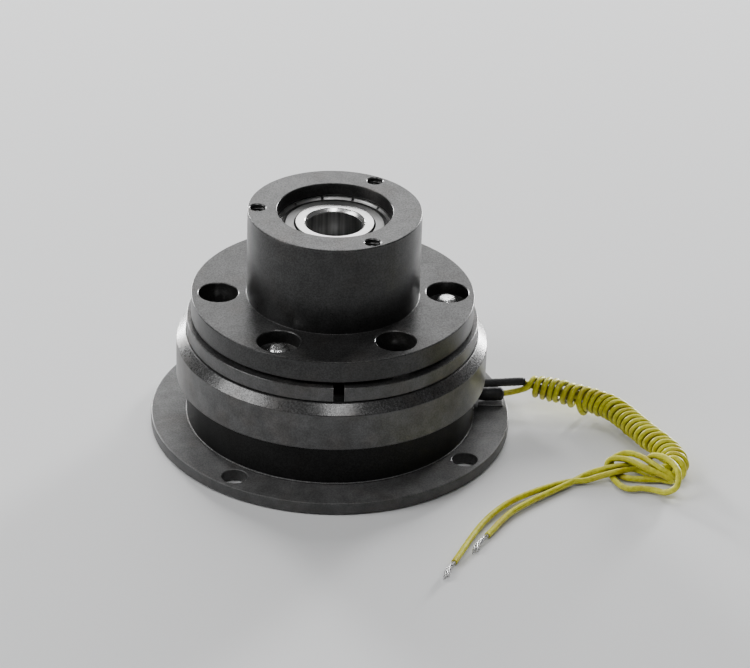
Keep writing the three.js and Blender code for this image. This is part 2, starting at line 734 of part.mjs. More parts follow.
// ---------------------------------------------------------------- output hub
function outputHub() {
  const c = HUB_EDGE_CHAMFER;
  const ringTopZ = BOTTOM_BEARING_Z - REST_GAP;
  const grooveTopZ = ringTopZ + REST_GAP / 2;
  const grooveZ = ringTopZ - RETAINING_RING_THICK - SEAT_GAP;
  const body = revolve(
    [
      [BEARING_SEAT_R, HUB_FLANGE_Z],
      [HUB_FLANGE_R, HUB_FLANGE_Z],
      [HUB_FLANGE_R, HUB_FLANGE_TOP_Z - c],
      [HUB_FLANGE_R - c, HUB_FLANGE_TOP_Z],
      [BOSS_R, HUB_FLANGE_TOP_Z],
      [BOSS_R, HUB_TOP_Z - c],
      [BOSS_R - c, HUB_TOP_Z],
      [HUB_LIP_R, HUB_TOP_Z],
      [HUB_LIP_R, HUB_TOP_Z - HUB_LIP_H],
      [BEARING_SEAT_R, HUB_TOP_Z - HUB_LIP_H],
      [BEARING_SEAT_R, grooveTopZ],
      [RETAINING_GROOVE_R, grooveTopZ],
      [RETAINING_GROOVE_R, grooveZ],
      [BEARING_SEAT_R, grooveZ],
    ],
    LARGE_RING_SIDES,
  );
  const floorZ = HUB_FLANGE_TOP_Z - COUNTERBORE_DEPTH;
  const rivetHole = join(
    disc(COUNTERBORE_R, floorZ, HUB_FLANGE_TOP_Z + CUT_MARGIN, HOLE_SIDES),
    disc(RIVET_HOLE_R, HUB_FLANGE_Z - CUT_MARGIN, floorZ + CUT_MARGIN, FASTENER_SIDES),
  );
  const clearanceHole = disc(
    CLEARANCE_HOLE_R,
    HUB_FLANGE_Z - CUT_MARGIN,
    HUB_FLANGE_TOP_Z + CUT_MARGIN,
    HOLE_SIDES,
  );
  const tappedHole = disc(
    TAPPED_HOLE_R,
    HUB_TOP_Z - TAPPED_HOLE_DEPTH,
    HUB_TOP_Z + CUT_MARGIN,
    FASTENER_SIDES,
  );
  return cut(
    body,
    ...onCircle(rivetHole, RIVET_CIRCLE_R, HUB_RIVET_FIRST_DEG, RIVET_COUNT),
    ...onCircle(clearanceHole, RIVET_CIRCLE_R, HUB_RIVET_FIRST_DEG + SPRING_SPAN_DEG, RIVET_COUNT),
    ...onCircle(tappedHole, TAPPED_HOLE_CIRCLE_R, TAPPED_HOLE_FIRST_DEG, TAPPED_HOLE_COUNT),
  );
}

function retainingRing() {
  const topZ = BOTTOM_BEARING_Z - REST_GAP;
  const zFrom = topZ - RETAINING_RING_THICK;
  const band = ring(RETAINING_RING_INNER_R, RETAINING_RING_OUTER_R, zFrom, topZ, COIL_SIDES);
  const half = RETAINING_RING_OPENING / 2;
  const opening = block(0, RETAINING_RING_OUTER_R + CUT_MARGIN, -half, half, zFrom - 1, topZ + 1);
  return cut(band, opening.rotate([0, 0, TAPPED_HOLE_FIRST_DEG]));
}

// A rivet through the hub's counterbore floor and a leaf spring, with a collar that spaces the spring.
function hubRivet() {
  const floorZ = HUB_FLANGE_TOP_Z - COUNTERBORE_DEPTH + REST_GAP;
  const springTopZ = SPRING_Z + SPRING_THICK;
  const collarZ = springTopZ + REST_GAP;
  const tailTopZ = SPRING_Z - REST_GAP;
  return revolve(
    [
      [0, tailTopZ - RIVET_TAIL_H],
      [RIVET_TAIL_R - RIVET_TAIL_CHAMFER, tailTopZ - RIVET_TAIL_H],
      [RIVET_TAIL_R, tailTopZ - RIVET_TAIL_H / 2],
      [RIVET_TAIL_R, tailTopZ],
      [RIVET_SHANK_R, tailTopZ],
      [RIVET_SHANK_R, collarZ],
      [RIVET_COLLAR_R, collarZ],
      [RIVET_COLLAR_R, collarZ + RIVET_COLLAR_H],
      [RIVET_SHANK_R, collarZ + RIVET_COLLAR_H],
      [RIVET_SHANK_R, floorZ],
      [HUB_RIVET_HEAD_R, floorZ],
      [HUB_RIVET_HEAD_R, floorZ + HUB_RIVET_HEAD_H * RIVET_SHOULDER_SHARE],
      [HUB_RIVET_HEAD_R * RIVET_TOP_SHARE, floorZ + HUB_RIVET_HEAD_H],
      [0, floorZ + HUB_RIVET_HEAD_H],
    ],
    FASTENER_SIDES,
  );
}

function leafSpring(hubDeg) {
  const hubEnd = polar(RIVET_CIRCLE_R, hubDeg);
  const armatureEnd = polar(RIVET_CIRCLE_R, hubDeg + SPRING_SPAN_DEG);
  const eye = disc(SPRING_WIDTH / 2, SPRING_Z, SPRING_Z + SPRING_THICK, HOLE_SIDES);
  const hole = disc(
    RIVET_HOLE_R,
    SPRING_Z - CUT_MARGIN,
    SPRING_Z + SPRING_THICK + CUT_MARGIN,
    FASTENER_SIDES,
  );
  const length = Math.hypot(armatureEnd[0] - hubEnd[0], armatureEnd[1] - hubEnd[1]);
  const heading = Math.atan2(armatureEnd[1] - hubEnd[1], armatureEnd[0] - hubEnd[0]);
  const strip = block(
    0,
    length,
    -SPRING_WAIST / 2,
    SPRING_WAIST / 2,
    SPRING_Z,
    SPRING_Z + SPRING_THICK,
  )
    .rotate([0, 0, THREE.MathUtils.radToDeg(heading)])
    .translate([...hubEnd, 0]);
  const [eyeA, eyeB] = [hubEnd, armatureEnd].map((p) => eye.translate([...p, 0]));
  const [holeA, holeB] = [hubEnd, armatureEnd].map((p) => hole.translate([...p, 0]));
  return cut(join(strip, eyeA, eyeB), holeA, holeB);
}

piece(hubGroup, "output_hub", outputHub(), blackenedSteel);
piece(hubGroup, "top_bearing_outer_ring", outerRing(topBearingZ), brightSteel);
piece(hubGroup, "bottom_bearing_outer_ring", outerRing(BOTTOM_BEARING_Z), brightSteel);
piece(
  hubGroup,
  "outer_ring_spacer",
  ring(OUTER_SPACER_INNER_R, BEARING_R, spacerZ, spacerZ + BEARING_SPACER_H, BEARING_SIDES),
  zincSteel,
);
for (const [name, bottomZ] of [["top", topBearingZ], ["bottom", BOTTOM_BEARING_Z]]) {
  const upperZ = bottomZ + BEARING_WIDTH - SHIELD_OFFSET - SHIELD_THICK;
  piece(hubGroup, `${name}_bearing_upper_shield`, shield(upperZ), brightSteel);
  piece(hubGroup, `${name}_bearing_lower_shield`, shield(bottomZ + SHIELD_OFFSET), brightSteel);
}
piece(hubGroup, "retaining_ring", retainingRing(), springSteel);
for (let i = 0; i < RIVET_COUNT; i++) {
  const deg = HUB_RIVET_FIRST_DEG + (i * 360) / RIVET_COUNT;
  piece(hubGroup, `hub_rivet_${i + 1}`, at(hubRivet(), RIVET_CIRCLE_R, deg), zincSteel);
  piece(hubGroup, `leaf_spring_${i + 1}`, leafSpring(deg), springSteel);
}

// ---------------------------------------------------------------- armature
function armaturePlate() {
  const plate = ring(ARMATURE_INNER_R, ARMATURE_R, ARMATURE_Z, ARMATURE_TOP_Z, LARGE_RING_SIDES);
  const armatureRivetDeg = HUB_RIVET_FIRST_DEG + SPRING_SPAN_DEG;
  const slot = block(
    ARMATURE_SLOT_INNER_R,
    ARMATURE_R + CUT_MARGIN,
    -ARMATURE_SLOT_WIDTH / 2,
    ARMATURE_SLOT_WIDTH / 2,
    ARMATURE_Z - CUT_MARGIN,
    ARMATURE_TOP_Z + CUT_MARGIN,
  );
  const slots = Array.from({ length: RIVET_COUNT }, (_, i) =>
    slot.rotate([0, 0, HUB_RIVET_FIRST_DEG + SPRING_SPAN_DEG / 2 + (i * 360) / RIVET_COUNT]),
  );
  const tailPocket = disc(
    RIVET_TAIL_POCKET_R,
    ARMATURE_Z - CUT_MARGIN,
    ARMATURE_TOP_Z + CUT_MARGIN,
    FASTENER_SIDES,
  );
  const rivetHole = join(
    disc(RIVET_HOLE_R, ARMATURE_Z - CUT_MARGIN, ARMATURE_TOP_Z + CUT_MARGIN, FASTENER_SIDES),
    disc(
      RIVET_TAIL_R + SEAT_GAP,
      ARMATURE_Z - CUT_MARGIN,
      ARMATURE_Z + RIVET_TAIL_H + REST_GAP,
      FASTENER_SIDES,
    ),
  );
  return cut(
    plate,
    ...slots,
    ...onCircle(tailPocket, RIVET_CIRCLE_R, HUB_RIVET_FIRST_DEG, RIVET_COUNT),
    ...onCircle(rivetHole, RIVET_CIRCLE_R, armatureRivetDeg, RIVET_COUNT),
  );
}

// A rivet through a leaf spring and the armature plate. Its head stands in the hub's clearance hole.
function armatureRivet() {
  const tailZ = ARMATURE_Z + SEAT_GAP;
  const tailTopZ = ARMATURE_Z + RIVET_TAIL_H;
  const collarZ = ARMATURE_TOP_Z + REST_GAP;
  const headZ = SPRING_Z + SPRING_THICK + REST_GAP;
  return revolve(
    [
      [0, tailZ],
      [RIVET_TAIL_R, tailZ],
      [RIVET_TAIL_R, tailTopZ],
      [RIVET_SHANK_R, tailTopZ],
      [RIVET_SHANK_R, collarZ],
      [RIVET_COLLAR_R, collarZ],
      [RIVET_COLLAR_R, collarZ + RIVET_COLLAR_H],
      [RIVET_SHANK_R, collarZ + RIVET_COLLAR_H],
      [RIVET_SHANK_R, headZ],
      [ARMATURE_RIVET_HEAD_R, headZ],
      [ARMATURE_RIVET_HEAD_R, headZ + ARMATURE_RIVET_HEAD_H / 2],
      [ARMATURE_RIVET_HEAD_R * RIVET_TOP_SHARE, headZ + ARMATURE_RIVET_HEAD_H],
      [0, headZ + ARMATURE_RIVET_HEAD_H],
    ],
    FASTENER_SIDES,
  );
}

piece(armatureGroup, "armature_plate", armaturePlate(), blackenedSteel);
onCircle(
  armatureRivet(),
  RIVET_CIRCLE_R,
  HUB_RIVET_FIRST_DEG + SPRING_SPAN_DEG,
  RIVET_COUNT,
).forEach((rivet, i) => piece(armatureGroup, `armature_rivet_${i + 1}`, rivet, zincSteel));

export default clutch;
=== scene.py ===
"""The looks of a flange-mounted electromagnetic clutch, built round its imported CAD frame.

Lengths are millimetres measured from the shaft axis, with z up from the mounting face, until at_axis() turns
them into the frame's metres.
"""

import json
import math
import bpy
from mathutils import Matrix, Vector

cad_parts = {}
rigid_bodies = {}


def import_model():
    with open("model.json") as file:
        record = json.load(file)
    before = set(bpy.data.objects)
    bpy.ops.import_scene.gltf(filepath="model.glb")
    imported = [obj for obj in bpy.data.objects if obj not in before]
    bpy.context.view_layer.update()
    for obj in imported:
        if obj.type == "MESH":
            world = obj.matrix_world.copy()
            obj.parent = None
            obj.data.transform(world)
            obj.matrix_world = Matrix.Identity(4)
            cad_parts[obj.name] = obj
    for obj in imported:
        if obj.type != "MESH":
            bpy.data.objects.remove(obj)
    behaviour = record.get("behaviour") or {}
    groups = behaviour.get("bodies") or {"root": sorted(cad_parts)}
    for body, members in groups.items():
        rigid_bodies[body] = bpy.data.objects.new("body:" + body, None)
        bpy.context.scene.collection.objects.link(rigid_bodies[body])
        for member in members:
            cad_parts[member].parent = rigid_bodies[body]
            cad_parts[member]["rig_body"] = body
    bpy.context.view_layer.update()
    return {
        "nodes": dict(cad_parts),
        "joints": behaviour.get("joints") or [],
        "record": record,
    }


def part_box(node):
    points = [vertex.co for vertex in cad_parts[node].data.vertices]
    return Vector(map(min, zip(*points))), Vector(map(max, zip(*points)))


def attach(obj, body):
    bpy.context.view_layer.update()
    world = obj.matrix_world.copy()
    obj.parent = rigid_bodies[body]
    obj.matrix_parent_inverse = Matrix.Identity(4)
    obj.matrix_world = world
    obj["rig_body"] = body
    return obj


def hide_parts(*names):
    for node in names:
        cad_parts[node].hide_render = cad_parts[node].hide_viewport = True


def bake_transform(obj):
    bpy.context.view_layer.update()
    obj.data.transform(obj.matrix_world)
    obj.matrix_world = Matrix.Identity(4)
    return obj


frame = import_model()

from types import SimpleNamespace

import bmesh
import bpy
import numpy as np
from mathutils import Matrix, Vector

MM = 0.001
FULL_TURN = 2 * math.pi
LARGE_SIDES = 192
SMALL_SIDES = 48
CURVE_STEPS = 24
AXIS = Vector(next(j["pos_m"] for j in frame["joints"] if j["name"] == "rotor_spin"))
AXIS.z = 0.0
SLOTS = {s["node"]: s["material_slot"] for s in frame["record"]["subparts"]}


# ---------------------------------------------------------------- places taken from the frame
def at_axis(point):
    return AXIS + Vector(point) * MM


def ring_of(node):
    """Outer radius, lower and upper z of a node that is round about the shaft axis."""
    low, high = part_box(node)
    return SimpleNamespace(r=(high.x - AXIS.x) / MM, z0=low.z / MM, z1=high.z / MM)


def place_of(node):
    """Middle x and y of a node, with its lower and upper z."""
    low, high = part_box(node)
    middle = ((low + high) / 2 - AXIS) / MM
    return SimpleNamespace(x=middle.x, y=middle.y, z0=low.z / MM, z1=high.z / MM)


def polar(radius, degrees):
    turn = math.radians(degrees)
    return radius * math.cos(turn), radius * math.sin(turn)


def spread(first, count):
    return [first + i * 360 / count for i in range(count)]


# ---------------------------------------------------------------- mesh building
def make_object(name, points, faces):
    mesh = bpy.data.meshes.new(name)
    mesh.from_pydata([at_axis(p) for p in points], [], faces)
    work = bmesh.new()
    work.from_mesh(mesh)
    bmesh.ops.recalc_face_normals(work, faces=work.faces)
    if work.calc_volume(signed=True) < 0:
        bmesh.ops.reverse_faces(work, faces=work.faces)
    work.to_mesh(mesh)
    work.free()
    made = bpy.data.objects.new(name, mesh)
    bpy.context.scene.collection.objects.link(made)
    return made


def soften(corners, steps=3):
    """Corners are (radius, z) or (radius, z, size); a corner with a size becomes a short curve."""
    points = []
    count = len(corners)
    for i, corner in enumerate(corners):
        here = np.array(corner[:2], float)
        if len(corner) == 2 or not corner[2]:
            points.append(tuple(here))
            continue
        ends = []
        for other in (corners[i - 1], corners[(i + 1) % count]):
            way = np.array(other[:2], float) - here
            ends.append(here + way * corner[2] / np.linalg.norm(way))
        for k in range(steps + 1):
            t = k / steps
            points.append(tuple((1 - t) ** 2 * ends[0] + 2 * t * (1 - t) * here + t * t * ends[1]))
    return points


def revolve(name, corners, sides=LARGE_SIDES, centre=(0, 0)):
    """A closed outline of radius and z turned about an upright axis through centre."""
    outline = soften(corners)
    points, rings = [], []
    for radius, z in outline:
        if radius < 1e-6:
            rings.append([len(points)] * sides)
            points.append((centre[0], centre[1], z))
            continue
        rings.append(list(range(len(points), len(points) + sides)))
        for k in range(sides):
            turn = k * FULL_TURN / sides
            points.append((centre[0] + radius * math.cos(turn), centre[1] + radius * math.sin(turn), z))
    faces = []
    for low, high in zip(rings, rings[1:] + rings[:1]):
        for k in range(sides):
            n = (k + 1) % sides
            face = list(dict.fromkeys((low[k], low[n], high[n], high[k])))
            if len(face) > 2:
                faces.append(face)
    return make_object(name, points, faces)


def prism(name, outline, z0, z1):
    """An outline of x and y raised from z0 to z1."""
    count = len(outline)
    points = [(x, y, z) for z in (z0, z1) for x, y in outline]
    faces = [list(range(count)), list(range(count, 2 * count))]
    faces += [(i, (i + 1) % count, count + (i + 1) % count, count + i) for i in range(count)]
    return make_object(name, points, faces)


def turned_box(x0, x1, y0, y1, z0, z1, degrees=0):
    c, s = polar(1, degrees)
    corners = [(x0, y0), (x1, y0), (x1, y1), (x0, y1)]
    return prism("tool", [(x * c - y * s, x * s + y * c) for x, y in corners], z0, z1)


def arc_sector(r0, r1, degrees0, degrees1, z0, z1, steps=40):
    turns = np.linspace(degrees0, degrees1, steps)
    outline = [polar(r1, d) for d in turns] + [polar(r0, d) for d in turns[::-1]]
    return prism("tool", outline, z0, z1)


def drill(radius, z0, z1, centre, top=0.0, bottom=0.0, blind=False, sides=SMALL_SIDES):
    """A tool that cuts a hole from z0 to z1 and breaks its edges by top and bottom."""
    past = 1.0
    low = [(0, z0 - 0.6 * radius), (radius, z0)]
    if not blind:
        low = [(0, z0 - past), (radius + bottom + past * bool(bottom), z0 - past), (radius, z0 + bottom)]
    high = [(radius, z1 - top), (radius + top + past * bool(top), z1 + past), (0, z1 + past)]
    return revolve("tool", low + high, sides, centre)


def thread_tool(radius, z0, z1, centre, top, pitch=0.8, depth=0.35):
    """A tool that cuts a blind tapped hole, with the thread as rings."""
    outline = [(0, z0 - 0.6 * radius), (radius, z0)]
    z = z0
    while z + pitch < z1 - top:
        outline += [(radius, z + 0.1 * pitch), (radius + depth, z + 0.5 * pitch), (radius, z + 0.9 * pitch)]
        z += pitch
    outline += [(radius, z1 - top), (radius + top + 1, z1 + 1), (0, z1 + 1)]
    return revolve("tool", outline, 32, centre)


def carve(target, tools, operation="DIFFERENCE"):
    """Applies the tools to the target as one exact boolean and removes them."""
    bpy.context.view_layer.update()
    tool = join_objects(tools)
    modifier = target.modifiers.new("carve", "BOOLEAN")
    modifier.operation = operation
    modifier.solver = "EXACT"
    modifier.object = tool
    apply_modifiers(target)
    bpy.data.objects.remove(tool)
    return target


def join_objects(objects):
    first = objects[0]
    work = bmesh.new()
    for one in objects:
        work.from_mesh(one.data)
    work.to_mesh(first.data)
    work.free()
    for one in objects[1:]:
        bpy.data.objects.remove(one)
    return first


def apply_modifiers(target):
    graph = bpy.context.evaluated_depsgraph_get()
    made = bpy.data.meshes.new_from_object(target.evaluated_get(graph))
    target.modifiers.clear()
    target.data = made


def smooth_line(points, step):
    """Evenly spaced points on a smooth line through the given ones."""
    ends = [2 * np.array(points[0]) - points[1], 2 * np.array(points[-1]) - points[-2]]
    knots = np.array([ends[0], *points, ends[1]], float)
    dense = []
    for a, b, c, d in zip(knots, knots[1:], knots[2:], knots[3:]):
        square = 2 * a - 5 * b + 4 * c - d
        cube = 3 * b - a - 3 * c + d
        for t in np.linspace(0, 1, CURVE_STEPS, endpoint=False):
            dense.append(0.5 * (2 * b + (c - a) * t + square * t**2 + cube * t**3))
    dense.append(knots[-2])
    dense = np.array(dense)
    travel = np.concatenate([[0], np.cumsum(np.linalg.norm(np.diff(dense, axis=0), axis=1))])
    stations = np.linspace(0, travel[-1], max(2, round(travel[-1] / step) + 1))
    return np.stack([np.interp(stations, travel, dense[:, k]) for k in range(3)], axis=1)


def directions(line):
    along = np.gradient(line, axis=0)
    return along / np.linalg.norm(along, axis=1)[:, None]


def carried_frames(line):
    """Two directions across the line at each point, carried along it without twist."""
    along = directions(line)
    across = np.cross(along[0], (0, 0, 1))
    across /= np.linalg.norm(across)
    frames = []
    for way in along:
        across = across - way * (across @ way)
        across /= np.linalg.norm(across)
        frames.append((across, np.cross(way, across)))
    return frames


def tube(name, line, radii, sides=14, bore=None):
    """A bar along the line, or a tube where a bore radius is given. radii is one number or one a point."""
    radii = np.broadcast_to(radii, len(line))
    skins = [radii] if bore is None else [radii, np.full(len(line), bore)]
    frames = carried_frames(line)
    points, faces, starts = [], [], []
    for skin in skins:
        starts.append(len(points))
        for point, (u, v), radius in zip(line, frames, skin):
            for k in range(sides):
                turn = k * FULL_TURN / sides
                points.append(point + radius * (u * math.cos(turn) + v * math.sin(turn)))
        for i in range(len(line) - 1):
            for k in range(sides):
                a = starts[-1] + i * sides
                n = (k + 1) % sides
                faces.append((a + k, a + n, a + sides + n, a + sides + k))
    last = (len(line) - 1) * sides
    if bore is None:
        faces += [tuple(range(sides)), tuple(range(last, last + sides))]
    else:
        for offset in (0, last):
            for k in range(sides):
                n = (k + 1) % sides
                faces.append((offset + k, offset + n, starts[1] + offset + n, starts[1] + offset + k))
    return make_object(name, points, faces)


def ripple(phase, *periods):
    """A smooth, repeatable unevenness between -1 and 1."""
    return sum(np.sin(phase * FULL_TURN / p + 1.7 * i) for i, p in enumerate(periods)) / len(periods)


# ---------------------------------------------------------------- materials
class Graph:
    """One material's nodes, with positions in millimetres from the shaft axis."""

    def __init__(self, name):
        self.material = bpy.data.materials.new(name)
        self.material.use_nodes = True
        self.tree = self.material.node_tree
        self.shader = self.tree.nodes["Principled BSDF"]
        coordinates = self.add("ShaderNodeTexCoord").outputs["Object"]
        moved = self.vector("SUBTRACT", coordinates, tuple(AXIS))
        scaled = self.add("ShaderNodeVectorMath", {"operation": "SCALE"})
        self.tree.links.new(moved, scaled.inputs[0])
        scaled.inputs["Scale"].default_value = 1 / MM
        self.position = scaled.outputs[0]
        parts = self.add("ShaderNodeSeparateXYZ", Vector=self.position)
        self.x, self.y, self.z = parts.outputs
        squares = [self.math("MULTIPLY", way, way) for way in (self.x, self.y)]
        self.radius = self.math("SQRT", self.math("ADD", *squares))

    def add(self, kind, settings=None, **inputs):
        made = self.tree.nodes.new(kind)
        for key, value in (settings or {}).items():
            setattr(made, key, value)
        for key, value in inputs.items():
            self.put(made.inputs[key.replace("_", " ")], value)
        return made

    def put(self, socket, value):
        if isinstance(value, bpy.types.NodeSocket):
            self.tree.links.new(value, socket)
        else:
            socket.default_value = value

    def math(self, operation, *values):
        made = self.add("ShaderNodeMath", {"operation": operation})
        for socket, value in zip(made.inputs, values):
            self.put(socket, value)
        return made.outputs[0]

    def vector(self, operation, *values):
        made = self.add("ShaderNodeVectorMath", {"operation": operation})
        for socket, value in zip(made.inputs, values):
            self.put(socket, value)
        return made.outputs["Value" if operation == "DOT_PRODUCT" else "Vector"]

    def noise(self, period, detail=3.0, vector=None):
        """Unevenness from 0 to 1 about the given number of millimetres across."""
        made = self.add("ShaderNodeTexNoise", Vector=vector or self.position, Scale=1 / period, Detail=detail)
        return made.outputs["Fac"]

    def lines(self, period):
        """Fine turning marks: rings on a flat face, and hoops on a round wall."""
        along = self.math("ADD", self.radius, self.z)
        settings = {"noise_dimensions": "1D"}
        made = self.add("ShaderNodeTexNoise", settings, W=along, Scale=1 / period, Detail=2.0)
        return made.outputs["Fac"]

    def remap(self, value, low, high, to_low, to_high):
        made = self.add(
            "ShaderNodeMapRange", Value=value, From_Min=low, From_Max=high, To_Min=to_low, To_Max=to_high
        )
        return made.outputs["Result"]

    def mix(self, share, first, second):
        made = self.add("ShaderNodeMix", {"data_type": "RGBA"})
        for index, value in ((0, share), (6, first), (7, second)):
            self.put(made.inputs[index], value)
        return made.outputs[2]

    def facing_z(self):
        """How far the surface faces up or down, as the z of its own upright normal."""
        normal = self.add("ShaderNodeNewGeometry").outputs["Normal"]
        return self.add("ShaderNodeSeparateXYZ", Vector=normal).outputs["Z"]

    def tint(self, level, red, green, blue):
        parts = [self.math("MULTIPLY", level, share) for share in (red, green, blue)]
        return self.add("ShaderNodeCombineColor", Red=parts[0], Green=parts[1], Blue=parts[2]).outputs[0]

    def edges(self, width):
        """Near 1 on sharp convex edges, 0 on open faces."""
        rounded = self.add("ShaderNodeBevel", {"samples": 6}, Radius=width * MM).outputs["Normal"]
        straight = self.add("ShaderNodeNewGeometry").outputs["Normal"]
        turned = self.math("SUBTRACT", 1.0, self.vector("DOT_PRODUCT", rounded, straight))
        return self.remap(turned, 0.02, 0.2, 0.0, 1.0)

    def crevices(self, reach):
        """Near 1 deep between neighbouring surfaces, 0 in the open."""
        hidden = self.add("ShaderNodeAmbientOcclusion", {"samples": 6}, Distance=reach * MM).outputs["AO"]
        return self.remap(hidden, 0.35, 0.85, 1.0, 0.0)

    def bump(self, height, distance, strength=1.0, normal=None):
        made = self.add("ShaderNodeBump", Height=height, Distance=distance * MM, Strength=strength)
        if normal is not None:
            self.put(made.inputs["Normal"], normal)
        return made.outputs["Normal"]

    def round_tangent(self):
        """The direction round the shaft axis, for turned metal's stretched highlights."""
        flipped = self.add("ShaderNodeCombineXYZ", X=self.math("MULTIPLY", self.y, -1.0), Y=self.x)
        turned = self.add(
            "ShaderNodeVectorTransform",
            {"vector_type": "VECTOR", "convert_from": "OBJECT", "convert_to": "WORLD"},
            Vector=flipped.outputs[0],
        )
        return self.vector("NORMALIZE", turned.outputs[0])

    def finish(self, **inputs):
        for key, value in inputs.items():
            self.put(self.shader.inputs[key.replace("_", " ")], value)
        return self.material


def grey(level, alpha=1.0):
    return (level, level, level, alpha)


def blackened_steel(
    name, top_level, wall_level, metal=0.5, rough=0.38, oil=0.0, polish=1.0, pits=1.0, end_face=None
):
    """Black oxide on turned steel: fine grain, faint brown bloom, thin bright wear on the edges.

    Faces and walls each have a brightness of their own, painted light and shade, and the faces are coarser.
    polish is the share of the roughness left on a chamfer, pits the strength of the pitting, end_face the z
    of a face with a painted highlight, brighter still.
    """
    g = Graph(name)
    bloom = g.noise(9.0, 5.0)
    grain = g.noise(0.55, 4.0)
    speck = g.noise(0.27, 2.0)
    upright = g.math("ABSOLUTE", g.facing_z())
    # Painted light and shade: faces and walls get their own brightness by the way they face.
    level = g.remap(upright, 0.3, 0.75, wall_level, top_level)
    # Painted highlight: the end face at end_face is painted brighter still.
    if end_face:
        level = g.math("MULTIPLY", level, g.remap(g.z, end_face - 1, end_face, 1.0, 1.7))
    coarse = g.remap(upright, 0.3, 0.75, 0.5 * pits, pits)
    pitting = g.math("MULTIPLY", coarse, g.remap(g.math("ADD", grain, speck), 0.85, 1.15, -1.0, 1.0))
    level = g.math("MULTIPLY", level, g.math("MULTIPLY_ADD", pitting, 0.3, 1.0))
    level = g.math("MULTIPLY", level, g.remap(g.noise(4.0, 3.0), 0.35, 0.65, 0.82, 1.18))
    neutral = g.tint(level, 1.0, 1.0, 1.0)
    warm = g.tint(level, 1.12, 0.99, 0.9)
    colour = g.mix(g.remap(bloom, 0.5, 0.75, 0, 0.6), neutral, warm)
    worn = g.math("MULTIPLY", g.edges(0.35), g.remap(g.noise(1.6), 0.35, 0.65, 0.25, 1.0))
    colour = g.mix(g.math("MULTIPLY", worn, 0.5), colour, grey(0.42))
    patches = g.remap(bloom, 0.3, 0.7, rough - 0.04, rough + 0.06)
    uneven = g.math("ADD", patches, g.remap(grain, 0.3, 0.7, -0.04, 0.05))
    slope = g.math("ABSOLUTE", g.math("SUBTRACT", upright, 0.7))
    uneven = g.math("MULTIPLY", uneven, g.remap(slope, 0.05, 0.2, polish, 1.0))
    normal = g.bump(g.lines(0.45), 0.012, 0.5)
    normal = g.bump(speck, 0.012, 0.7, normal)
    return g.finish(
        Base_Color=colour,
        Metallic=metal,
        Specular_IOR_Level=g.math("MULTIPLY_ADD", pitting, 0.23, 0.43),
        Roughness=uneven,
        Normal=normal,
        Coat_Weight=oil,
        Coat_Roughness=0.2,
        Coat_Normal=normal,
    )


def bright_steel(name, level, rough, stretch, period=0.22, groove=None):
    """Ground or turned bare steel, with highlights stretched across the turning marks.

    Walls are darker in upright streaks, and a groove between two radii is painted dark as painted shade.
    """
    g = Graph(name)
    stain = g.noise(3.0, 4.0)
    stained = (level * 0.86, level * 0.84, level * 0.8, 1)
    colour = g.mix(g.remap(stain, 0.4, 0.8, 0, 0.5), grey(level), stained)
    upright_stretched_noise = g.noise(1.3, 2.0, g.vector("MULTIPLY", g.position, (1, 1, 0.03)))
    wall = g.remap(g.math("ABSOLUTE", g.facing_z()), 0.1, 0.3, 1.0, 0.0)
    # Walls are darker in upright streaks.
    streak = g.math("MULTIPLY", wall, g.remap(upright_stretched_noise, 0.36, 0.64, 0.1, 0.7))
    colour = g.mix(streak, colour, grey(level * 0.25))
    # Painted shade: the groove between the two radii is painted dark.
    if groove:
        past_start = g.math("GREATER_THAN", g.radius, groove[0])
        before_end = g.math("LESS_THAN", g.radius, groove[1])
        inside = g.math("MULTIPLY", past_start, before_end)
        colour = g.mix(g.math("MULTIPLY", inside, 0.8), colour, grey(0.04))
    patches = g.remap(stain, 0.3, 0.7, rough, rough * 1.5)
    uneven = g.math("ADD", patches, g.remap(g.lines(0.5), 0.3, 0.7, 0, 0.06))
    uneven = g.math("ADD", uneven, g.math("MULTIPLY", wall, 0.2))
    normal = g.bump(g.lines(period), 0.004, 0.6)
    normal = g.bump(g.noise(0.5), 0.003, 0.4, normal)
    return g.finish(
        Base_Color=colour,
        Metallic=1.0,
        Roughness=uneven,
        Anisotropic=stretch,
        Tangent=g.round_tangent(),
        Normal=normal,
    )


def hammered_steel(name):
    """A rivet's set head: bright, with small dents."""
    g = Graph(name)
    dents = g.noise(0.9, 2.0)
    colour = g.mix(g.remap(dents, 0.35, 0.55, 0, 1), grey(0.5), grey(0.92))
    normal = g.bump(dents, 0.25, 0.8)
    roughness = g.remap(dents, 0.3, 0.7, 0.32, 0.16)
    return g.finish(Base_Color=colour, Metallic=1.0, Roughness=roughness, Normal=normal)


def plain_moulding(name, colour, rough, period, depth, coat=0.0):
    """Rubber, resin, lining or plastic: two tones of one colour over a fine uneven skin."""
    g = Graph(name)
    broad = g.noise(period * 6, 4.0)
    fine = g.noise(period, 4.0)
    light = tuple(min(1.0, c * 1.7 + 0.004) for c in colour) + (1,)
    tone = g.mix(g.remap(fine, 0.35, 0.7, 0, 1), tuple(colour) + (1,), light)
    roughness = g.remap(broad, 0.3, 0.7, rough * 0.85, min(1.0, rough * 1.15))
    return g.finish(Base_Color=tone, Roughness=roughness, Normal=g.bump(fine, depth, 0.8), Coat_Weight=coat)


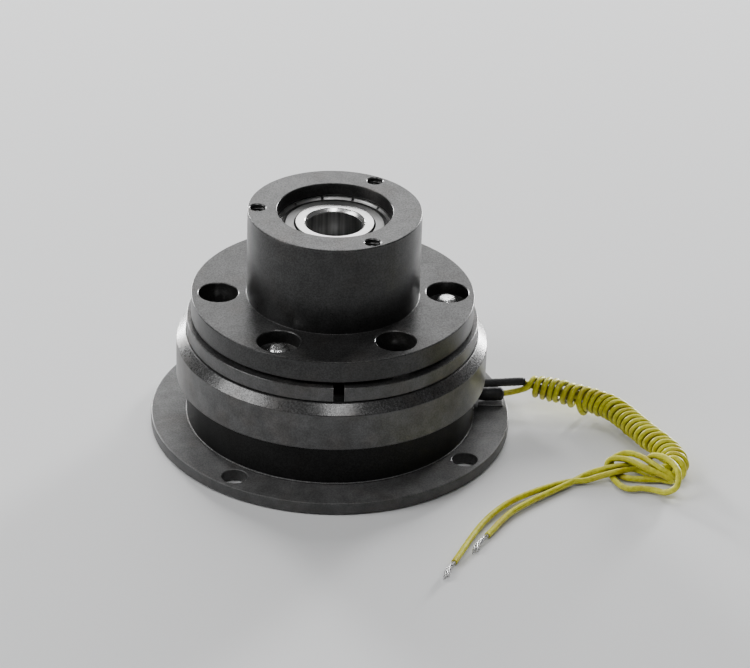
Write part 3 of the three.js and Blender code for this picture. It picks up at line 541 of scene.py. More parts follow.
def yellow_insulation(name):
    """Soft yellow insulation, with handling grime, painted shade between the turns and faint extrusion waves.
    """
    g = Graph(name)
    grime = g.noise(5.0, 5.0)
    mottle = g.noise(1.1, 3.0)
    clean = g.mix(g.remap(mottle, 0.3, 0.7, 0, 1), (0.525, 0.505, 0.012, 1), (0.75, 0.735, 0.048, 1))
    amber = (0.45, 0.30, 0.008, 1)
    colour = g.mix(g.remap(grime, 0.5, 0.75, 0, 0.6), clean, amber)
    # Painted shade: darker where neighbouring surfaces crowd in, between the turns.
    colour = g.mix(g.math("MULTIPLY", g.crevices(1.6), 0.85), colour, (0.05, 0.035, 0.004, 1))
    normal = g.bump(g.noise(0.6, 2.0), 0.03, 0.5)
    rough = g.remap(mottle, 0.3, 0.7, 0.34, 0.46)
    return g.finish(Base_Color=colour, Roughness=rough, Specular_IOR_Level=0.38, Normal=normal)


def enamelled_copper(name):
    g = Graph(name)
    turns = g.lines(0.8)
    colour = g.mix(g.remap(turns, 0.35, 0.65, 0, 1), (0.24, 0.06, 0.02, 1), (0.62, 0.22, 0.08, 1))
    return g.finish(Base_Color=colour, Metallic=0.8, Roughness=0.3, Normal=g.bump(turns, 0.05, 0.7))


LOOKS = {
    "blackened_steel": blackened_steel("black_oxide_steel", 0.085, 0.075, metal=0.7, oil=0.12, polish=0.7),
    "bearing_steel": bright_steel("ground_bearing_steel", 0.72, 0.13, 0.75),
    "spring_steel": bright_steel("rolled_spring_steel", 0.34, 0.24, 0.3),
    "zinc_plated_steel": bright_steel("plated_steel", 0.55, 0.22, 0.3),
    "friction_material": plain_moulding("friction_lining", (0.045, 0.034, 0.027), 0.85, 0.6, 0.12),
    "bobbin_plastic": plain_moulding("bobbin_moulding", (0.016, 0.016, 0.017), 0.55, 0.5, 0.03),
    "copper_winding": enamelled_copper("enamelled_copper"),
    "potting_resin": plain_moulding("cast_resin", (0.02, 0.014, 0.01), 0.3, 1.5, 0.05, coat=0.4),
    "black_rubber": plain_moulding("black_rubber", (0.005, 0.005, 0.006), 0.6, 0.5, 0.12),
    "yellow_insulation": yellow_insulation("yellow_insulation"),
    "tinned_copper": bright_steel("tinned_strands", 0.66, 0.3, 0.0),
}
RIVET_HEAD_LOOK = hammered_steel("set_rivet_head")
# The hub's top end face gets a painted highlight.
HUB_LOOK = blackened_steel(
    "black_oxide_hub", 0.042, 0.026, rough=0.34, oil=0.1, end_face=ring_of("output_hub").z1
)
FLANGE_LOOK = blackened_steel("black_oxide_flange", 0.08, 0.06, metal=0.1, rough=0.45, pits=0.55)
# Painted shade lies in the shield's groove, from 13.5 to 14.6 mm.
SHIELD_LOOK = bright_steel("pressed_shield", 0.26, 0.28, 0.5, groove=(13.5, 14.6))
# The core's wall is painted nearly black: painted shade under the rotor's overhang.
CORE_LOOK = blackened_steel("black_oxide_core_painted_shade", 0.14, 0.008, rough=0.6)


def settle(piece, node, look=None, sharp=34, weighted=True):
    """Names the piece after its CAD node, shades it, and hides the node's CAD part so that the piece stands
    for it.
    """
    piece.name = node + "_made"
    mesh = piece.data
    mesh.materials.clear()
    mesh.materials.append(look or LOOKS[SLOTS[node]])
    mesh.polygons.foreach_set("material_index", [0] * len(mesh.polygons))
    mesh.polygons.foreach_set("use_smooth", [True] * len(mesh.polygons))
    mesh.set_sharp_from_angle(angle=math.radians(sharp))
    if weighted:
        piece.modifiers.new("flat_faces", "WEIGHTED_NORMAL").keep_sharp = True
    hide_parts(node)
    return piece


def ride(piece, node, **options):
    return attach(settle(piece, node, **options), frame["nodes"][node]["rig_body"])


# ---------------------------------------------------------------- shared dimensions
MOUNT_HOLE_CIRCLE = 45
MOUNT_HOLE_RADIUS = 3.5
MOUNT_HOLE_DEGREES = spread(56.5, 4)
CORE_SCREW_COUNT = 4
SCREW_HOLE_RADIUS = 2.0
CORE_BORE = 17.5
CORE_INNER_WALL = 22
CORE_OUTER_WALL = 35.5
CORE_WEB_TOP = 7
SHAFT_BORE = 7.5
RIVET_CIRCLE = 31.5
RIVET_HOLE_RADIUS = 1.65
RIVET_SHANK_RADIUS = 1.5
RIVET_COLLAR_RADIUS = 2.6
RIVET_COLLAR_HEIGHT = 0.15
RIVET_GAP = 0.05
HUB_RIVET_DEGREES = spread(4, 3)
ARMATURE_RIVET_DEGREES = spread(64, 3)
SPRING_MIDDLE_DEGREES = spread(34, 3)
BALL_CIRCLE = 12.62
BALL_COUNT = 8
SLEEVE_STEP = 0.3


# ---------------------------------------------------------------- stator
def mounting_flange():
    f = ring_of("mounting_flange")
    body = revolve(
        "flange",
        [(CORE_BORE, f.z0, 0.3), (f.r, f.z0, 0.5), (f.r, f.z1, 0.5), (CORE_BORE, f.z1, 0.2)],
    )
    tools = [
        drill(MOUNT_HOLE_RADIUS, f.z0, f.z1, polar(MOUNT_HOLE_CIRCLE, d), top=0.15, bottom=0.3)
        for d in MOUNT_HOLE_DEGREES
    ]
    for i in range(CORE_SCREW_COUNT):
        s = place_of(f"core_screw_{i + 1}")
        tools.append(drill(SCREW_HOLE_RADIUS, f.z0, f.z1, (s.x, s.y), bottom=1.95))
    ride(carve(body, tools), "mounting_flange", look=FLANGE_LOOK)


def field_core():
    c = ring_of("field_core")
    lip_r, lip_z = c.r + 0.35, c.z0 + 0.3
    body = revolve(
        "core",
        [
            (CORE_BORE, c.z0, 0.3),
            (lip_r, c.z0),
            (lip_r, lip_z, 0.2),
            (c.r, lip_z, 0.1),
            (c.r, c.z1, 0.4),
            (CORE_OUTER_WALL, c.z1, 0.3),
            (CORE_OUTER_WALL, CORE_WEB_TOP, 0.5),
            (CORE_INNER_WALL, CORE_WEB_TOP, 0.5),
            (CORE_INNER_WALL, c.z1, 0.3),
            (CORE_BORE, c.z1, 0.4),
        ],
    )
    low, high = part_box("lead_grommet")
    gap = 0.1
    slot = turned_box(
        CORE_OUTER_WALL - 1,
        c.r + 1,
        (low.y - AXIS.y) / MM - gap,
        (high.y - AXIS.y) / MM + gap,
        low.z / MM - gap,
        high.z / MM + gap,
    )
    tools = [slot]
    for i in range(CORE_SCREW_COUNT):
        s = place_of(f"core_screw_{i + 1}")
        tools.append(drill(SCREW_HOLE_RADIUS, c.z0, CORE_WEB_TOP, (s.x, s.y), top=0.3))
    ride(carve(body, tools), "field_core", look=CORE_LOOK)


def core_screws():
    head_r, shank_r, head_h = 3.8, 1.9, 1.9
    drive_r, drive_depth = 1.2, 1.2
    for i in range(CORE_SCREW_COUNT):
        node = f"core_screw_{i + 1}"
        s = place_of(node)
        body = revolve(
            node,
            [(0, s.z0), (head_r, s.z0, 0.15), (shank_r, head_h, 0.2), (shank_r, s.z1, 0.4), (0, s.z1)],
            SMALL_SIDES,
            (s.x, s.y),
        )
        hexagon = [(0, -1), (drive_r, -1), (drive_r, s.z0 + drive_depth), (0, s.z0 + drive_depth + 0.5)]
        ride(carve(body, [revolve("tool", hexagon, 6, (s.x, s.y))]), node)


def coil():
    b = ring_of("coil_bobbin")
    wall, inner = 1.0, 22.4
    ride(
        revolve(
            "bobbin",
            [
                (inner, b.z0, 0.2),
                (b.r, b.z0, 0.2),
                (b.r, b.z0 + wall, 0.2),
                (inner + wall, b.z0 + wall, 0.3),
                (inner + wall, b.z1 - wall, 0.3),
                (b.r, b.z1 - wall, 0.2),
                (b.r, b.z1, 0.2),
                (inner, b.z1, 0.2),
            ],
        ),
        "coil_bobbin",
    )
    w = ring_of("coil_winding")
    inner = 23.7
    layers = 20
    pitch = (w.z1 - w.z0) / layers
    outline = [(inner, w.z1), (inner, w.z0)]
    for i in range(layers):
        for k in range(5):
            turn = math.pi * k / 4
            r = w.r - pitch / 2 + math.sin(turn) * pitch / 2
            z = w.z0 + (i + 0.5 - math.cos(turn) / 2) * pitch
            outline.append((r, z))
    ride(revolve("winding", outline), "coil_winding", sharp=60)
    p = ring_of("coil_potting")
    inner = 22.3
    middle = (inner + p.r) / 2
    ride(
        revolve(
            "potting",
            [(inner, p.z0), (p.r, p.z0), (p.r, p.z1, 0.3), (middle, p.z1 - 0.35), (inner, p.z1, 0.3)],
        ),
        "coil_potting",
        weighted=False,
    )


def sleeve_lines():
    """Centre lines of the two sleeves: level through the grommet, then leaning back a little."""
    lines = {}
    for node, lean in (("lead_sleeve_upper", 2.0), ("lead_sleeve_lower", 0.8)):
        box_low, box_high = ((corner - AXIS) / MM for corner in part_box(node))
        middle = (box_low + box_high) / 2
        grommet_end = 41.2
        bend = grommet_end + 2
        lines[node] = smooth_line(
            [
                (box_low.x, middle.y, middle.z),
                (grommet_end, middle.y, middle.z),
                (bend, middle.y + lean * 0.12, middle.z),
                (box_high.x, middle.y + lean, middle.z),
            ],
            SLEEVE_STEP,
        )
    return lines


def lead_exit():
    """The grommet in the core's wall, the clip under the leads and the two sleeves."""
    low, high = ((corner - AXIS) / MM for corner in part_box("lead_grommet"))
    half_y, half_z = (high.y - low.y) / 2, (high.z - low.z) / 2
    middle_y, middle_z = (high.y + low.y) / 2, (high.z + low.z) / 2
    sections = []
    for x, grow in ((low.x, -0.3), (low.x + 0.4, 0), (high.x - 1.2, 0), (high.x - 0.3, -0.3), (high.x, -0.9)):
        ring = []
        for k in range(SMALL_SIDES):
            turn = k * FULL_TURN / SMALL_SIDES
            c, s = math.cos(turn), math.sin(turn)
            y = math.copysign(abs(c) ** 0.35, c) * (half_y + grow)
            z = math.copysign(abs(s) ** 0.35, s) * (half_z + grow)
            ring.append((x, middle_y + y, middle_z + z))
        sections.append(ring)
    body = loft("grommet", sections)
    tools = []
    for node in ("lead_sleeve_upper", "lead_sleeve_lower"):
        sleeve = place_of(node)
        radius = (sleeve.z1 - sleeve.z0) / 2 + 0.08
        z = (sleeve.z0 + sleeve.z1) / 2
        tools.append(tube("tool", np.array([(x, middle_y, z) for x in (low.x - 1, high.x + 1)]), radius, 32))
    ride(carve(body, tools), "lead_grommet")
    for node, swell in (("lead_sleeve_upper", 0.06), ("lead_sleeve_lower", 0.32)):
        line = sleeve_lines()[node]
        sleeve = place_of(node)
        count = len(line)
        radius = (sleeve.z1 - sleeve.z0) / 2
        along = np.arange(count) * SLEEVE_STEP
        grown = swell * np.clip((line[:, 0] - 41.4) / 2, 0, 1)
        radii = radius - 0.05 + grown + 0.05 * ripple(along, 3.1, 1.3, 5.7)
        radii[-4:] -= np.array([0.0, 0.05, 0.2, 0.5])
        ride(tube(node, line, radii, 28, bore=0.95), node, sharp=50)
    low, high = ((corner - AXIS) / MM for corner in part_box("lead_clip"))
    edge, thick = 0.15, 0.55
    sections = []
    for x, inset in ((low.x, edge), (low.x + edge, 0), (high.x - edge, 0), (high.x, edge)):
        y0, y1, z1 = low.y + inset, high.y - inset, low.z + thick - inset * 0.5
        foot = [(x, y0, low.z), (x, y1, low.z)]
        back = [(x, y1, z1 - edge), (x, y1 - edge, z1), (x, y0 + edge, z1), (x, y0, z1 - edge)]
        sections.append(foot + back)
    ride(loft("clip", sections), "lead_clip", look=FLANGE_LOOK)


def loft(name, sections):
    """A closed skin over sections that have the same number of points."""
    count = len(sections[0])
    points = [p for section in sections for p in section]
    faces = [tuple(range(count)), tuple(range(len(points) - count, len(points)))]
    for i in range(len(sections) - 1):
        for k in range(count):
            n = (k + 1) % count
            a = i * count
            faces.append((a + k, a + n, a + count + n, a + count + k))
    return make_object(name, points, faces)


# HANK_LINE, KNOT_A and KNOT_B aren't worked out from the frame. A separate program turned places picked by
# eye on the photo into millimetres at guessed heights, and some were then moved by hand: see report.md.
# The hank's centre line, from the sleeves down to the floor and round to the knot.
HANK_LINE = [
    (56.2, 8.4, 8.2),
    (59.0, 8.6, 7.5),
    (63.5, 8.8, 6.6),
    (67.5, 8.2, 5.8),
    (71.8, 7.5, 5.0),
    (76.0, 6.3, 4.3),
    (80.2, 3.3, 3.9),
    (84.5, -3.0, 3.7),
    (88.5, -9.8, 3.7),
    (92.0, -15.0, 3.7),
    (94.8, -20.0, 3.7),
    (95.7, -24.0, 3.5),
    (95.2, -26.6, 3.0),
]
WIRE_RADIUS = 0.85
WRAPS = 28
LOOSE_WRAP = 6.75
# Past the hank the leads make one overhand knot. Each lies on the floor for the near side of its loop, turns
# over at the left, climbs back across the loop, ducks under the collar and runs out to its bared end.
KNOT_A = [
    (94.2, -28.0, 1.6),
    (91.5, -28.0, 0.9),
    (87.5, -28.2, 0.9),
    (82.0, -27.8, 0.9),
    (79.0, -25.0, 0.9),
    (78.0, -21.6, 2.6),
    (81.5, -20.3, 4.2),
    (85.5, -22.4, 4.8),
    (90.0, -27.4, 4.7),
    (94.0, -29.0, 2.9),
    (93.8, -28.0, 1.0),
    (89.5, -24.8, 0.9),
    (85.0, -22.2, 1.2),
    (80.8, -24.4, 2.7),
    (76.0, -25.5, 2.2),
    (71.5, -26.2, 0.9),
    (65.7, -31.9, 0.9),
    (56.5, -40.4, 0.9),
    (49.6, -48.0, 0.9),
    (43.5, -59.2, 0.9),
]
KNOT_B = [
    (90.0, -24.5, 2.5),
    (88.0, -24.0, 4.6),
    (89.2, -24.2, 6.2),
    (92.5, -27.0, 7.0),
    (95.3, -32.0, 6.4),
    (95.0, -36.0, 3.8),
    (92.2, -35.9, 1.7),
    (89.6, -33.8, 0.9),
    (86.0, -33.0, 0.9),
    (82.2, -33.4, 0.9),
    (79.8, -31.4, 0.9),
    (78.4, -28.4, 0.9),
    (76.8, -24.0, 1.4),
    (77.6, -22.6, 3.5),
    (82.0, -23.7, 4.3),
    (87.0, -27.4, 4.1),
    (92.5, -29.4, 2.8),
    (94.2, -29.4, 1.2),
    (89.5, -27.0, 0.9),
    (84.6, -23.9, 1.3),
    (79.8, -27.2, 2.6),
    (75.0, -28.4, 1.7),
    (70.6, -29.8, 0.9),
    (65.4, -31.0, 0.9),
    (57.0, -36.0, 0.9),
    (48.8, -43.3, 0.9),
    (42.0, -54.0, 0.9),
    (34.6, -72.8, 0.9),
]


def wrapped_turns():
    """The winding lead's line round the hank, hand-wound: its size, spacing and lean all wander a little."""
    steps = WRAPS * 30
    centre = smooth_line(HANK_LINE, 0.05)
    along = directions(centre)
    points = []
    for i in range(steps + 1):
        share = i / steps
        wraps = share * WRAPS
        drift = share + 0.007 * ripple(wraps, 4.3, 7.7, 2.9) * math.sin(math.pi * share)
        place = min(max(drift, 0), 1) * (len(centre) - 1)
        k = int(round(place))
        side = np.cross(along[k], (0, 0, 1))
        side /= np.linalg.norm(side)
        rise = np.array((0, 0, 1))
        radius = np.interp(share, (0, 0.015, 0.05, 0.3, 0.8, 1), (1.4, 2.3, 2.6, 2.85, 2.8, 2.4))
        radius += 0.16 * ripple(wraps, 1.9, 3.3, 0.37)
        turn = wraps * FULL_TURN
        slack = math.exp(-(((wraps - LOOSE_WRAP) / 0.24) ** 2))
        lean = -1.1 * math.cos(turn)
        point = centre[k] + radius * (side * math.cos(turn) + rise * math.sin(turn)) + along[k] * lean
        point += (along[k] * 1.6 + np.array((0, -0.8, -1.2))) * slack
        points.append(point)
    return points


def leads():
    sleeves = sleeve_lines()
    upper = [tuple(p) for p in sleeves["lead_sleeve_upper"][1::8]]
    lower = [tuple(p) for p in sleeves["lead_sleeve_lower"][1::8]]
    line_a = [*upper, *HANK_LINE, *KNOT_A]
    line_b = [*lower, (52.4, 7.4, 6.9), *wrapped_turns()[::5], *KNOT_B]
    step = 0.45
    for name, line in (("a", line_a), ("b", line_b)):
        node = "lead_wire_" + name
        smooth = smooth_line(line, step)
        radii = WIRE_RADIUS + 0.02 * ripple(np.arange(len(smooth)) * step, 6.3, 2.1)
        ride(tube(node, smooth, radii, 16), node, sharp=60, weighted=False)
        bared_strands("wire_strands_" + name, smooth[-1], directions(smooth)[-1])


def bared_strands(node, start, along):
    """Seven fine strands, twisted at the insulation and frayed at the tip."""
    length = 9.0 if node.endswith("a") else 8.0
    across = np.cross(along, (0, 0, 1))
    strands = []
    for k in range(7):
        spot = 0 if k == 0 else 0.36
        points = []
        for i in range(9):
            share = i / 8
            turn = k * FULL_TURN / 6 + share * 5.2
            spread_out = spot * (1 + 0.9 * share**2) + 0.25 * share**2 * ripple(k + share * 3, 2.3, 1.1)
            side = across * math.cos(turn) + np.array((0, 0, 1)) * math.sin(turn)
            wave = across * 0.5 * math.sin(share * 4.5) * share
            point = start + along * (share * (length - 0.5 * (k % 3))) + side * spread_out + wave
            point[2] = max(point[2], 0.25)
            points.append(tuple(point))
        strands.append(tube("strand", smooth_line(points, 0.35), 0.17, 8))
    ride(join_objects(strands), node, sharp=60, weighted=False)


# ---------------------------------------------------------------- rotor
def rotor():
    r = ring_of("rotor")
    skirt_z = 15.9
    skirt_inner, face_z, tube_r = 40.5, 24.9, 17
    groove_inner, groove_outer, groove_z = 27, 36, r.z1 - 2
    chamfer = 2.5
    body = revolve(
        "rotor",
        [
            (SHAFT_BORE, r.z0, 0.5),
            (tube_r, r.z0, 0.5),
            (tube_r, face_z, 0.6),
            (skirt_inner, face_z, 0.6),
            (skirt_inner, skirt_z, 0.3),
            (r.r, skirt_z, 0.25),
            (r.r, r.z1 - chamfer, 0.2),
            (r.r - chamfer, r.z1, 0.2),
            (groove_outer, r.z1, 0.15),
            (groove_outer, groove_z),
            (groove_inner, groove_z),
            (groove_inner, r.z1, 0.15),
            (SHAFT_BORE, r.z1, 0.4),
        ],
    )
    tools = [arc_sector(30, 32.5, d, d + 74, face_z - 1, groove_z + 1) for d in spread(0, 4)]
    tools.append(turned_box(-2.5, 2.5, 0, 9.8, r.z0 - 1, r.z1 + 1))
    ride(carve(body, tools), "rotor")
    lining = ring_of("friction_lining")
    inner = groove_inner + 0.1
    edge = 0.15
    z0, z1 = lining.z0, lining.z1
    outline = [(inner, z0), (lining.r, z0), (lining.r, z1, edge), (inner, z1, edge)]
    ride(revolve("lining", outline), "friction_lining")


def ring_section(inner, outer, z0, z1, edge):
    return [(inner, z0, edge), (outer, z0, edge), (outer, z1, edge), (inner, z1, edge)]


def plain_ring(node, inner):
    n = ring_of(node)
    ride(revolve(node, ring_section(inner, n.r, n.z0, n.z1, 0.25)), node)


# ---------------------------------------------------------------- bearings
def raceway(middle_z, land, side, radius=3.2, steps=12):
    half = math.acos(abs(land - BALL_CIRCLE) / radius)
    turns = np.linspace(-half, half, steps + 1)
    return [(BALL_CIRCLE + side * radius * math.cos(t), middle_z + radius * math.sin(t)) for t in turns]


def bearing(which):
    inner = ring_of(f"{which}_bearing_inner_ring")
    middle = (inner.z0 + inner.z1) / 2
    land = inner.r
    bore_chamfer = 0.9
    ride(
        revolve(
            "inner",
            [
                (SHAFT_BORE, inner.z0 + bore_chamfer, 0.15),
                (SHAFT_BORE + bore_chamfer, inner.z0, 0.15),
                (land, inner.z0, 0.25),
                *raceway(middle, land, -1),
                (land, inner.z1, 0.25),
                (SHAFT_BORE + bore_chamfer, inner.z1, 0.15),
                (SHAFT_BORE, inner.z1 - bore_chamfer, 0.15),
            ],
        ),
        f"{which}_bearing_inner_ring",
    )
    outer = ring_of(f"{which}_bearing_outer_ring")
    land, seat, seat_depth = 14.5, 15.45, 1.2
    ride(
        revolve(
            "outer",
            [
                (seat, outer.z0),
                (outer.r, outer.z0, 0.7),
                (outer.r, outer.z1, 0.7),
                (seat, outer.z1),
                (seat, outer.z1 - seat_depth),
                (land, outer.z1 - seat_depth),
                *raceway(middle, land, 1)[::-1],
                (land, outer.z0 + seat_depth),
                (seat, outer.z0 + seat_depth),
            ],
        ),
        f"{which}_bearing_outer_ring",
    )
    shield(f"{which}_bearing_upper_shield", outer.z1, 1)
    shield(f"{which}_bearing_lower_shield", outer.z0, -1)
    balls_and_cage(which, middle)


def shield(node, face_z, up):
    """A pressed shield: notched, crimped rim, a step down, and a flat that ends short of the inner ring."""
    s = ring_of(node)
    thick = 0.25
    flat = [(11.15, 0.5), (13.45, 0.5)]
    groove_and_rim = [(13.7, 0.72), (14.6, 0.76), (15.0, 0.36), (15.15, 0.15), (s.r, 0.15)]
    profile = flat + groove_and_rim
    upper = [(r, face_z - up * depth, 0.06) for r, depth in profile]
    lower = [(r, face_z - up * (depth + thick), 0.06) for r, depth in profile[::-1]]
    body = revolve("shield", upper + lower)
    tools = []
    notch = 0.4
    for d in spread(39.5, 11):
        z0, z1 = sorted((face_z + up * 0.5, face_z - up * 0.7))
        tools.append(turned_box(14.65, s.r + 0.5, -notch, notch, z0, z1, d))
    ride(carve(body, tools), node, look=SHIELD_LOOK)


def balls_and_cage(which, middle):
    radius = 2.95
    pocket = radius + 0.12
    half = [(radius * math.sin(t), middle - radius * math.cos(t)) for t in np.linspace(0, math.pi, 17)]
    half[0], half[-1] = (0, middle - radius), (0, middle + radius)
    for i in range(BALL_COUNT):
        node = f"{which}_bearing_ball_{i + 1}"
        centre = polar(BALL_CIRCLE, i * 360 / BALL_COUNT)
        ride(revolve(node, half, 32, centre), node, sharp=60, weighted=False)
    c = ring_of(f"{which}_bearing_cage")
    body = revolve("cage", ring_section(12, c.r, c.z0, c.z1, 0.2))
    tools = []
    for d in spread(0, BALL_COUNT):
        scaled = [(r * pocket / radius, middle + (z - middle) * pocket / radius) for r, z in half]
        tools.append(revolve("tool", scaled, 32, polar(BALL_CIRCLE, d)))
    ride(carve(body, tools), f"{which}_bearing_cage")


# ---------------------------------------------------------------- output hub
def output_hub():
    h = ring_of("output_hub")
    seat, boss, flange_top = 17.6, 23.8, 40.6
    lip_r, lip_h = 15.8, 3.6
    groove_r = 18.7
    ring = ring_of("retaining_ring")
    body = revolve(
        "hub",
        [
            (seat, h.z0, 0.4),
            (h.r, h.z0, 0.3),
            (h.r, flange_top, 0.35),
            (boss, flange_top, 0.15),
            (boss, h.z1, 0.4),
            (lip_r, h.z1, 0.35),
            (lip_r, h.z1 - lip_h, 0.2),
            (seat, h.z1 - lip_h),
            (seat, ring.z1 + 0.03),
            (groove_r, ring.z1 + 0.03),
            (groove_r, ring.z0 - 0.1),
            (seat, ring.z0 - 0.1),
        ],
    )
    floor_z = flange_top - 3.8
    counterbore_r, clearance_r = 5.9, 5.5
    thread_r, thread_circle, thread_depth = 2.1, 21, 12
    tools = []
    for d in HUB_RIVET_DEGREES:
        centre = polar(RIVET_CIRCLE, d)
        tools.append(drill(counterbore_r, floor_z, flange_top, centre, top=0.2, blind=True, sides=72))
    for d in ARMATURE_RIVET_DEGREES:
        centre = polar(RIVET_CIRCLE, d)
        tools.append(drill(clearance_r, h.z0, flange_top, centre, top=0.2, bottom=0.3, sides=72))
    for d in spread(60, 3):
        tools.append(thread_tool(thread_r, h.z1 - thread_depth, h.z1, polar(thread_circle, d), top=0.3))
    carve(body, tools)
    shanks = [
        drill(RIVET_HOLE_RADIUS, h.z0, floor_z + 1, polar(RIVET_CIRCLE, d)) for d in HUB_RIVET_DEGREES
    ]
    ride(carve(body, shanks), "output_hub", look=HUB_LOOK)


def retaining_ring():
    ring = ring_of("retaining_ring")
    inner, outer = 15.9, 18.4
    opening_degrees, half_opening = 60, 4.5
    eye_r, eye_circle, eye_spread = 0.75, 17.0, 20
    body = revolve("circlip", ring_section(inner, outer, ring.z0, ring.z1, 0.2))
    opening = turned_box(0, 20, -half_opening, half_opening, ring.z0 - 1, ring.z1 + 1, opening_degrees)
    eye_degrees = [opening_degrees + side * eye_spread for side in (-1, 1)]
    eyes = [drill(eye_r, ring.z0, ring.z1, polar(eye_circle, d)) for d in eye_degrees]
    ride(carve(body, [opening, *eyes]), "retaining_ring")


def hub_rivets():
    head_r, tail_r, shank_r, collar_r = 2.4, 2.9, RIVET_SHANK_RADIUS, RIVET_COLLAR_RADIUS
    spring = place_of("leaf_spring_1")
    tail_z = spring.z0 - RIVET_GAP
    collar_z = spring.z1 + RIVET_GAP
    for i in range(len(HUB_RIVET_DEGREES)):
        node = f"hub_rivet_{i + 1}"
        n = place_of(node)
        floor_z = n.z1 - 2.4
        body = revolve(
            node,
            [
                (0, n.z0),
                (tail_r - 0.7, n.z0, 0.3),
                (tail_r, n.z0 + 0.8, 0.3),
                (tail_r, tail_z, 0.1),
                (shank_r, tail_z),
                (shank_r, collar_z),
                (collar_r, collar_z, 0.05),
                (collar_r, collar_z + RIVET_COLLAR_HEIGHT, 0.05),
                (shank_r, collar_z + RIVET_COLLAR_HEIGHT),
                (shank_r, floor_z),
                (head_r + 1.0, floor_z, 0.15),
                (head_r + 0.8, floor_z + 0.9, 0.5),
                (head_r + 0.2, floor_z + 1.8, 0.6),
                (head_r - 0.7, n.z1 - 0.1, 0.5),
                (0.5, n.z1),
                (0, n.z1),
            ],
            SMALL_SIDES,
            (n.x, n.y),
        )
        ride(body, node, look=RIVET_HEAD_LOOK, sharp=60)


def leaf_springs():
    """Flat strips between the hub's rivet and the armature's rivet; they are built flat, though the real
    springs bend when the armature is pulled.
    """
    eye, waist = 4.0, 2.8
    for i, (hub_d, armature_d) in enumerate(zip(HUB_RIVET_DEGREES, ARMATURE_RIVET_DEGREES)):
        node = f"leaf_spring_{i + 1}"
        z = place_of(node)
        start = np.array(polar(RIVET_CIRCLE, hub_d))
        end = np.array(polar(RIVET_CIRCLE, armature_d))
        length = np.linalg.norm(end - start)
        along = (end - start) / length
        across = np.array((-along[1], along[0]))
        quarter = np.linspace(0, math.pi / 2, 14)
        strip = np.linspace(0.5, length - 0.5, 50)
        stations = np.concatenate([-eye * np.cos(quarter), strip, length + eye * np.sin(quarter)])
        sections = []
        for s in stations:
            past = max(0.0, -s, s - length)
            half = math.sqrt(max(eye**2 - past**2, 0.01))
            from_eye = min(max(s, 0), max(length - s, 0))
            if from_eye > 0:
                half = waist + (eye - waist) * math.exp(-((from_eye / 4.2) ** 2))
            middle = start + along * s
            left, right = middle + across * half, middle - across * half
            sections.append([(*left, z.z0), (*right, z.z0), (*right, z.z1), (*left, z.z1)])
        body = loft(node, sections)
        holes = [drill(RIVET_HOLE_RADIUS, z.z0, z.z1, tuple(spot), sides=32) for spot in (start, end)]
        piece = settle(carve(body, holes), node, sharp=40)
        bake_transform(piece)


# ---------------------------------------------------------------- armature
def armature():
    a = ring_of("armature_plate")
    inner, slot_start, half_slot, pocket_r = 20, 28, 1.5, 4
    body = revolve(
        "armature",
        [(inner, a.z0, 0.25), (a.r, a.z0, 0.25), (a.r, a.z1, 0.3), (inner, a.z1, 0.25)],
    )
    tools = []
    for d in SPRING_MIDDLE_DEGREES:
        tools.append(turned_box(slot_start, a.r + 2, -half_slot, half_slot, a.z0 - 1, a.z1 + 1, d))
    for d in HUB_RIVET_DEGREES:
        tools.append(drill(pocket_r, a.z0, a.z1, polar(RIVET_CIRCLE, d), top=0.2, bottom=0.2))
    for d in ARMATURE_RIVET_DEGREES:
        tools.append(drill(RIVET_HOLE_RADIUS, a.z0, a.z1, polar(RIVET_CIRCLE, d)))
    ride(carve(body, tools), "armature_plate")


def armature_rivets():
    head_r, shank_r, collar_r = 3.4, RIVET_SHANK_RADIUS, RIVET_COLLAR_RADIUS
    plate = place_of("armature_plate")
    for i in range(len(ARMATURE_RIVET_DEGREES)):
        node = f"armature_rivet_{i + 1}"
        n = place_of(node)
        head_z = n.z1 - 1.8
        body = revolve(
            node,
            [
                (0, n.z0),
                (1.4, n.z0, 0.2),
                (shank_r, plate.z1),
                (shank_r, plate.z1 + RIVET_GAP),
                (collar_r, plate.z1 + RIVET_GAP),
                (collar_r, plate.z1 + 0.2),
                (shank_r, plate.z1 + 0.2),
                (shank_r, head_z),
                (head_r, head_z, 0.2),
                (3.1, head_z + 1.2, 0.5),
                (1.6, n.z1, 0.4),
                (0, n.z1),
            ],
            SMALL_SIDES,
            (n.x, n.y),
        )
        ride(body, node, look=RIVET_HEAD_LOOK, sharp=60)


# ---------------------------------------------------------------- stage, lights and camera
def stage_floor():
    half, depth = 3.0, 0.0004
    mesh = bpy.data.meshes.new("floor")
    points = [(x, y, -depth) for x, y in ((-half, -half), (half, -half), (half, half), (-half, half))]
    mesh.from_pydata(points, [], [(0, 1, 2, 3)])
    floor = bpy.data.objects.new("floor", mesh)
    bpy.context.scene.collection.objects.link(floor)
    g = Graph("pale_floor")
    pale = (0.8, 0.805, 0.81, 1)
    # Past the lamps the floor would turn dark in a low view, so there the camera alone sees it glow.
    far = g.remap(g.radius, 700, 1500, 0, 0.45)
    glow = g.math("MULTIPLY", far, g.add("ShaderNodeLightPath").outputs["Is Camera Ray"])
    look = g.finish(Base_Color=pale, Roughness=0.8, Emission_Color=pale, Emission_Strength=glow)
    mesh.materials.append(look)


def area_light(name, place, target, size, power, colour=(1, 1, 1)):
    data = bpy.data.lights.new(name, "AREA")
    data.shape = "RECTANGLE"
    data.size, data.size_y = size
    data.energy = power
    data.color = colour
    light = bpy.data.objects.new(name, data)
    light.location = Vector(place)
    light.rotation_mode = "QUATERNION"
    light.rotation_quaternion = (Vector(target) - Vector(place)).to_track_quat("-Z", "Y")
    bpy.context.scene.collection.objects.link(light)


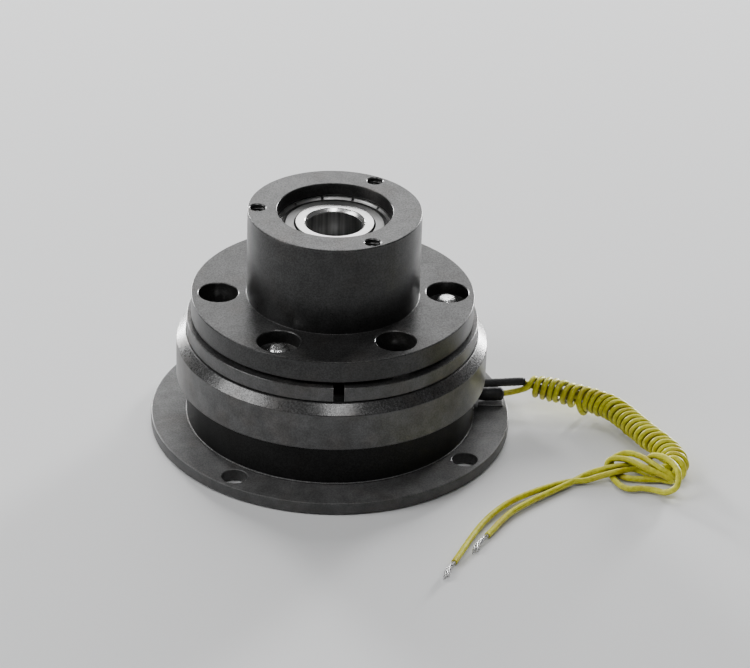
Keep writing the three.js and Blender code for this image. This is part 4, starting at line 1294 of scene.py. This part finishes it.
def lights():
    middle = at_axis((0, 0, 40))
    area_light("back_softbox", middle + Vector((0.0, 1.1, 0.60)), middle, (0.95, 0.5), 4.8)
    area_light("high_back_softbox", middle + Vector((0.0, 0.8, 1.2)), middle, (0.6, 0.3), 5)
    area_light("front_top_softbox", middle + Vector((0.08, -0.5, 1.0)), middle, (0.22, 0.3), 2.4)
    area_light("left_softbox", middle + Vector((-1.0, -0.25, 0.75)), middle, (0.7, 0.7), 9)
    area_light("left_strip", middle + Vector((-0.62, 1.0, 0.12)), middle, (0.2, 0.5), 22)
    area_light("right_strip", middle + Vector((0.62, 1.0, 0.12)), middle, (0.2, 0.5), 25)
    world = bpy.data.worlds.new("studio")
    world.use_nodes = True
    background = world.node_tree.nodes["Background"]
    background.inputs["Color"].default_value = (0.8, 0.8, 0.8, 1)
    path = world.node_tree.nodes.new("ShaderNodeLightPath")
    strength = world.node_tree.nodes.new("ShaderNodeMapRange")
    strength.inputs["To Min"].default_value = 0.14
    strength.inputs["To Max"].default_value = 0.7
    world.node_tree.links.new(path.outputs["Is Camera Ray"], strength.inputs["Value"])
    world.node_tree.links.new(strength.outputs["Result"], background.inputs["Strength"])
    bpy.context.scene.world = world


def camera():
    """A long lens, 29 degrees above the horizon and turned a little about its own line of sight.

    The angles, the distance and the two shifts come from a fit of the photo's ellipses.
    """
    elevation, roll = math.radians(29.29), math.radians(1.86)
    distance, across, down = 969.4, 11.98, 2.11
    forward = Vector((0, math.cos(elevation), -math.sin(elevation)))
    level_up = Vector((0, math.sin(elevation), math.cos(elevation)))
    level_right = Vector((1, 0, 0))
    right = level_right * math.cos(roll) + level_up * math.sin(roll)
    up = level_up * math.cos(roll) - level_right * math.sin(roll)
    data = bpy.data.cameras.new("camera")
    data.sensor_width = 36
    data.lens = 168
    made = bpy.data.objects.new("camera", data)
    place = at_axis((0, 0, 25)) + (right * across + up * down - forward * distance) * MM
    turn = Matrix((right, up, -forward)).transposed().to_4x4()
    made.matrix_world = Matrix.Translation(place) @ turn
    bpy.context.scene.collection.objects.link(made)
    bpy.context.scene.camera = made


mounting_flange()
field_core()
core_screws()
coil()
lead_exit()
leads()
rotor()
plain_ring("air_gap_spacer", 7.6)
plain_ring("inner_ring_spacer", 7.6)
plain_ring("outer_ring_spacer", 15.4)
bearing("top")
bearing("bottom")
output_hub()
retaining_ring()
hub_rivets()
leaf_springs()
armature()
armature_rivets()
stage_floor()
lights()
camera()
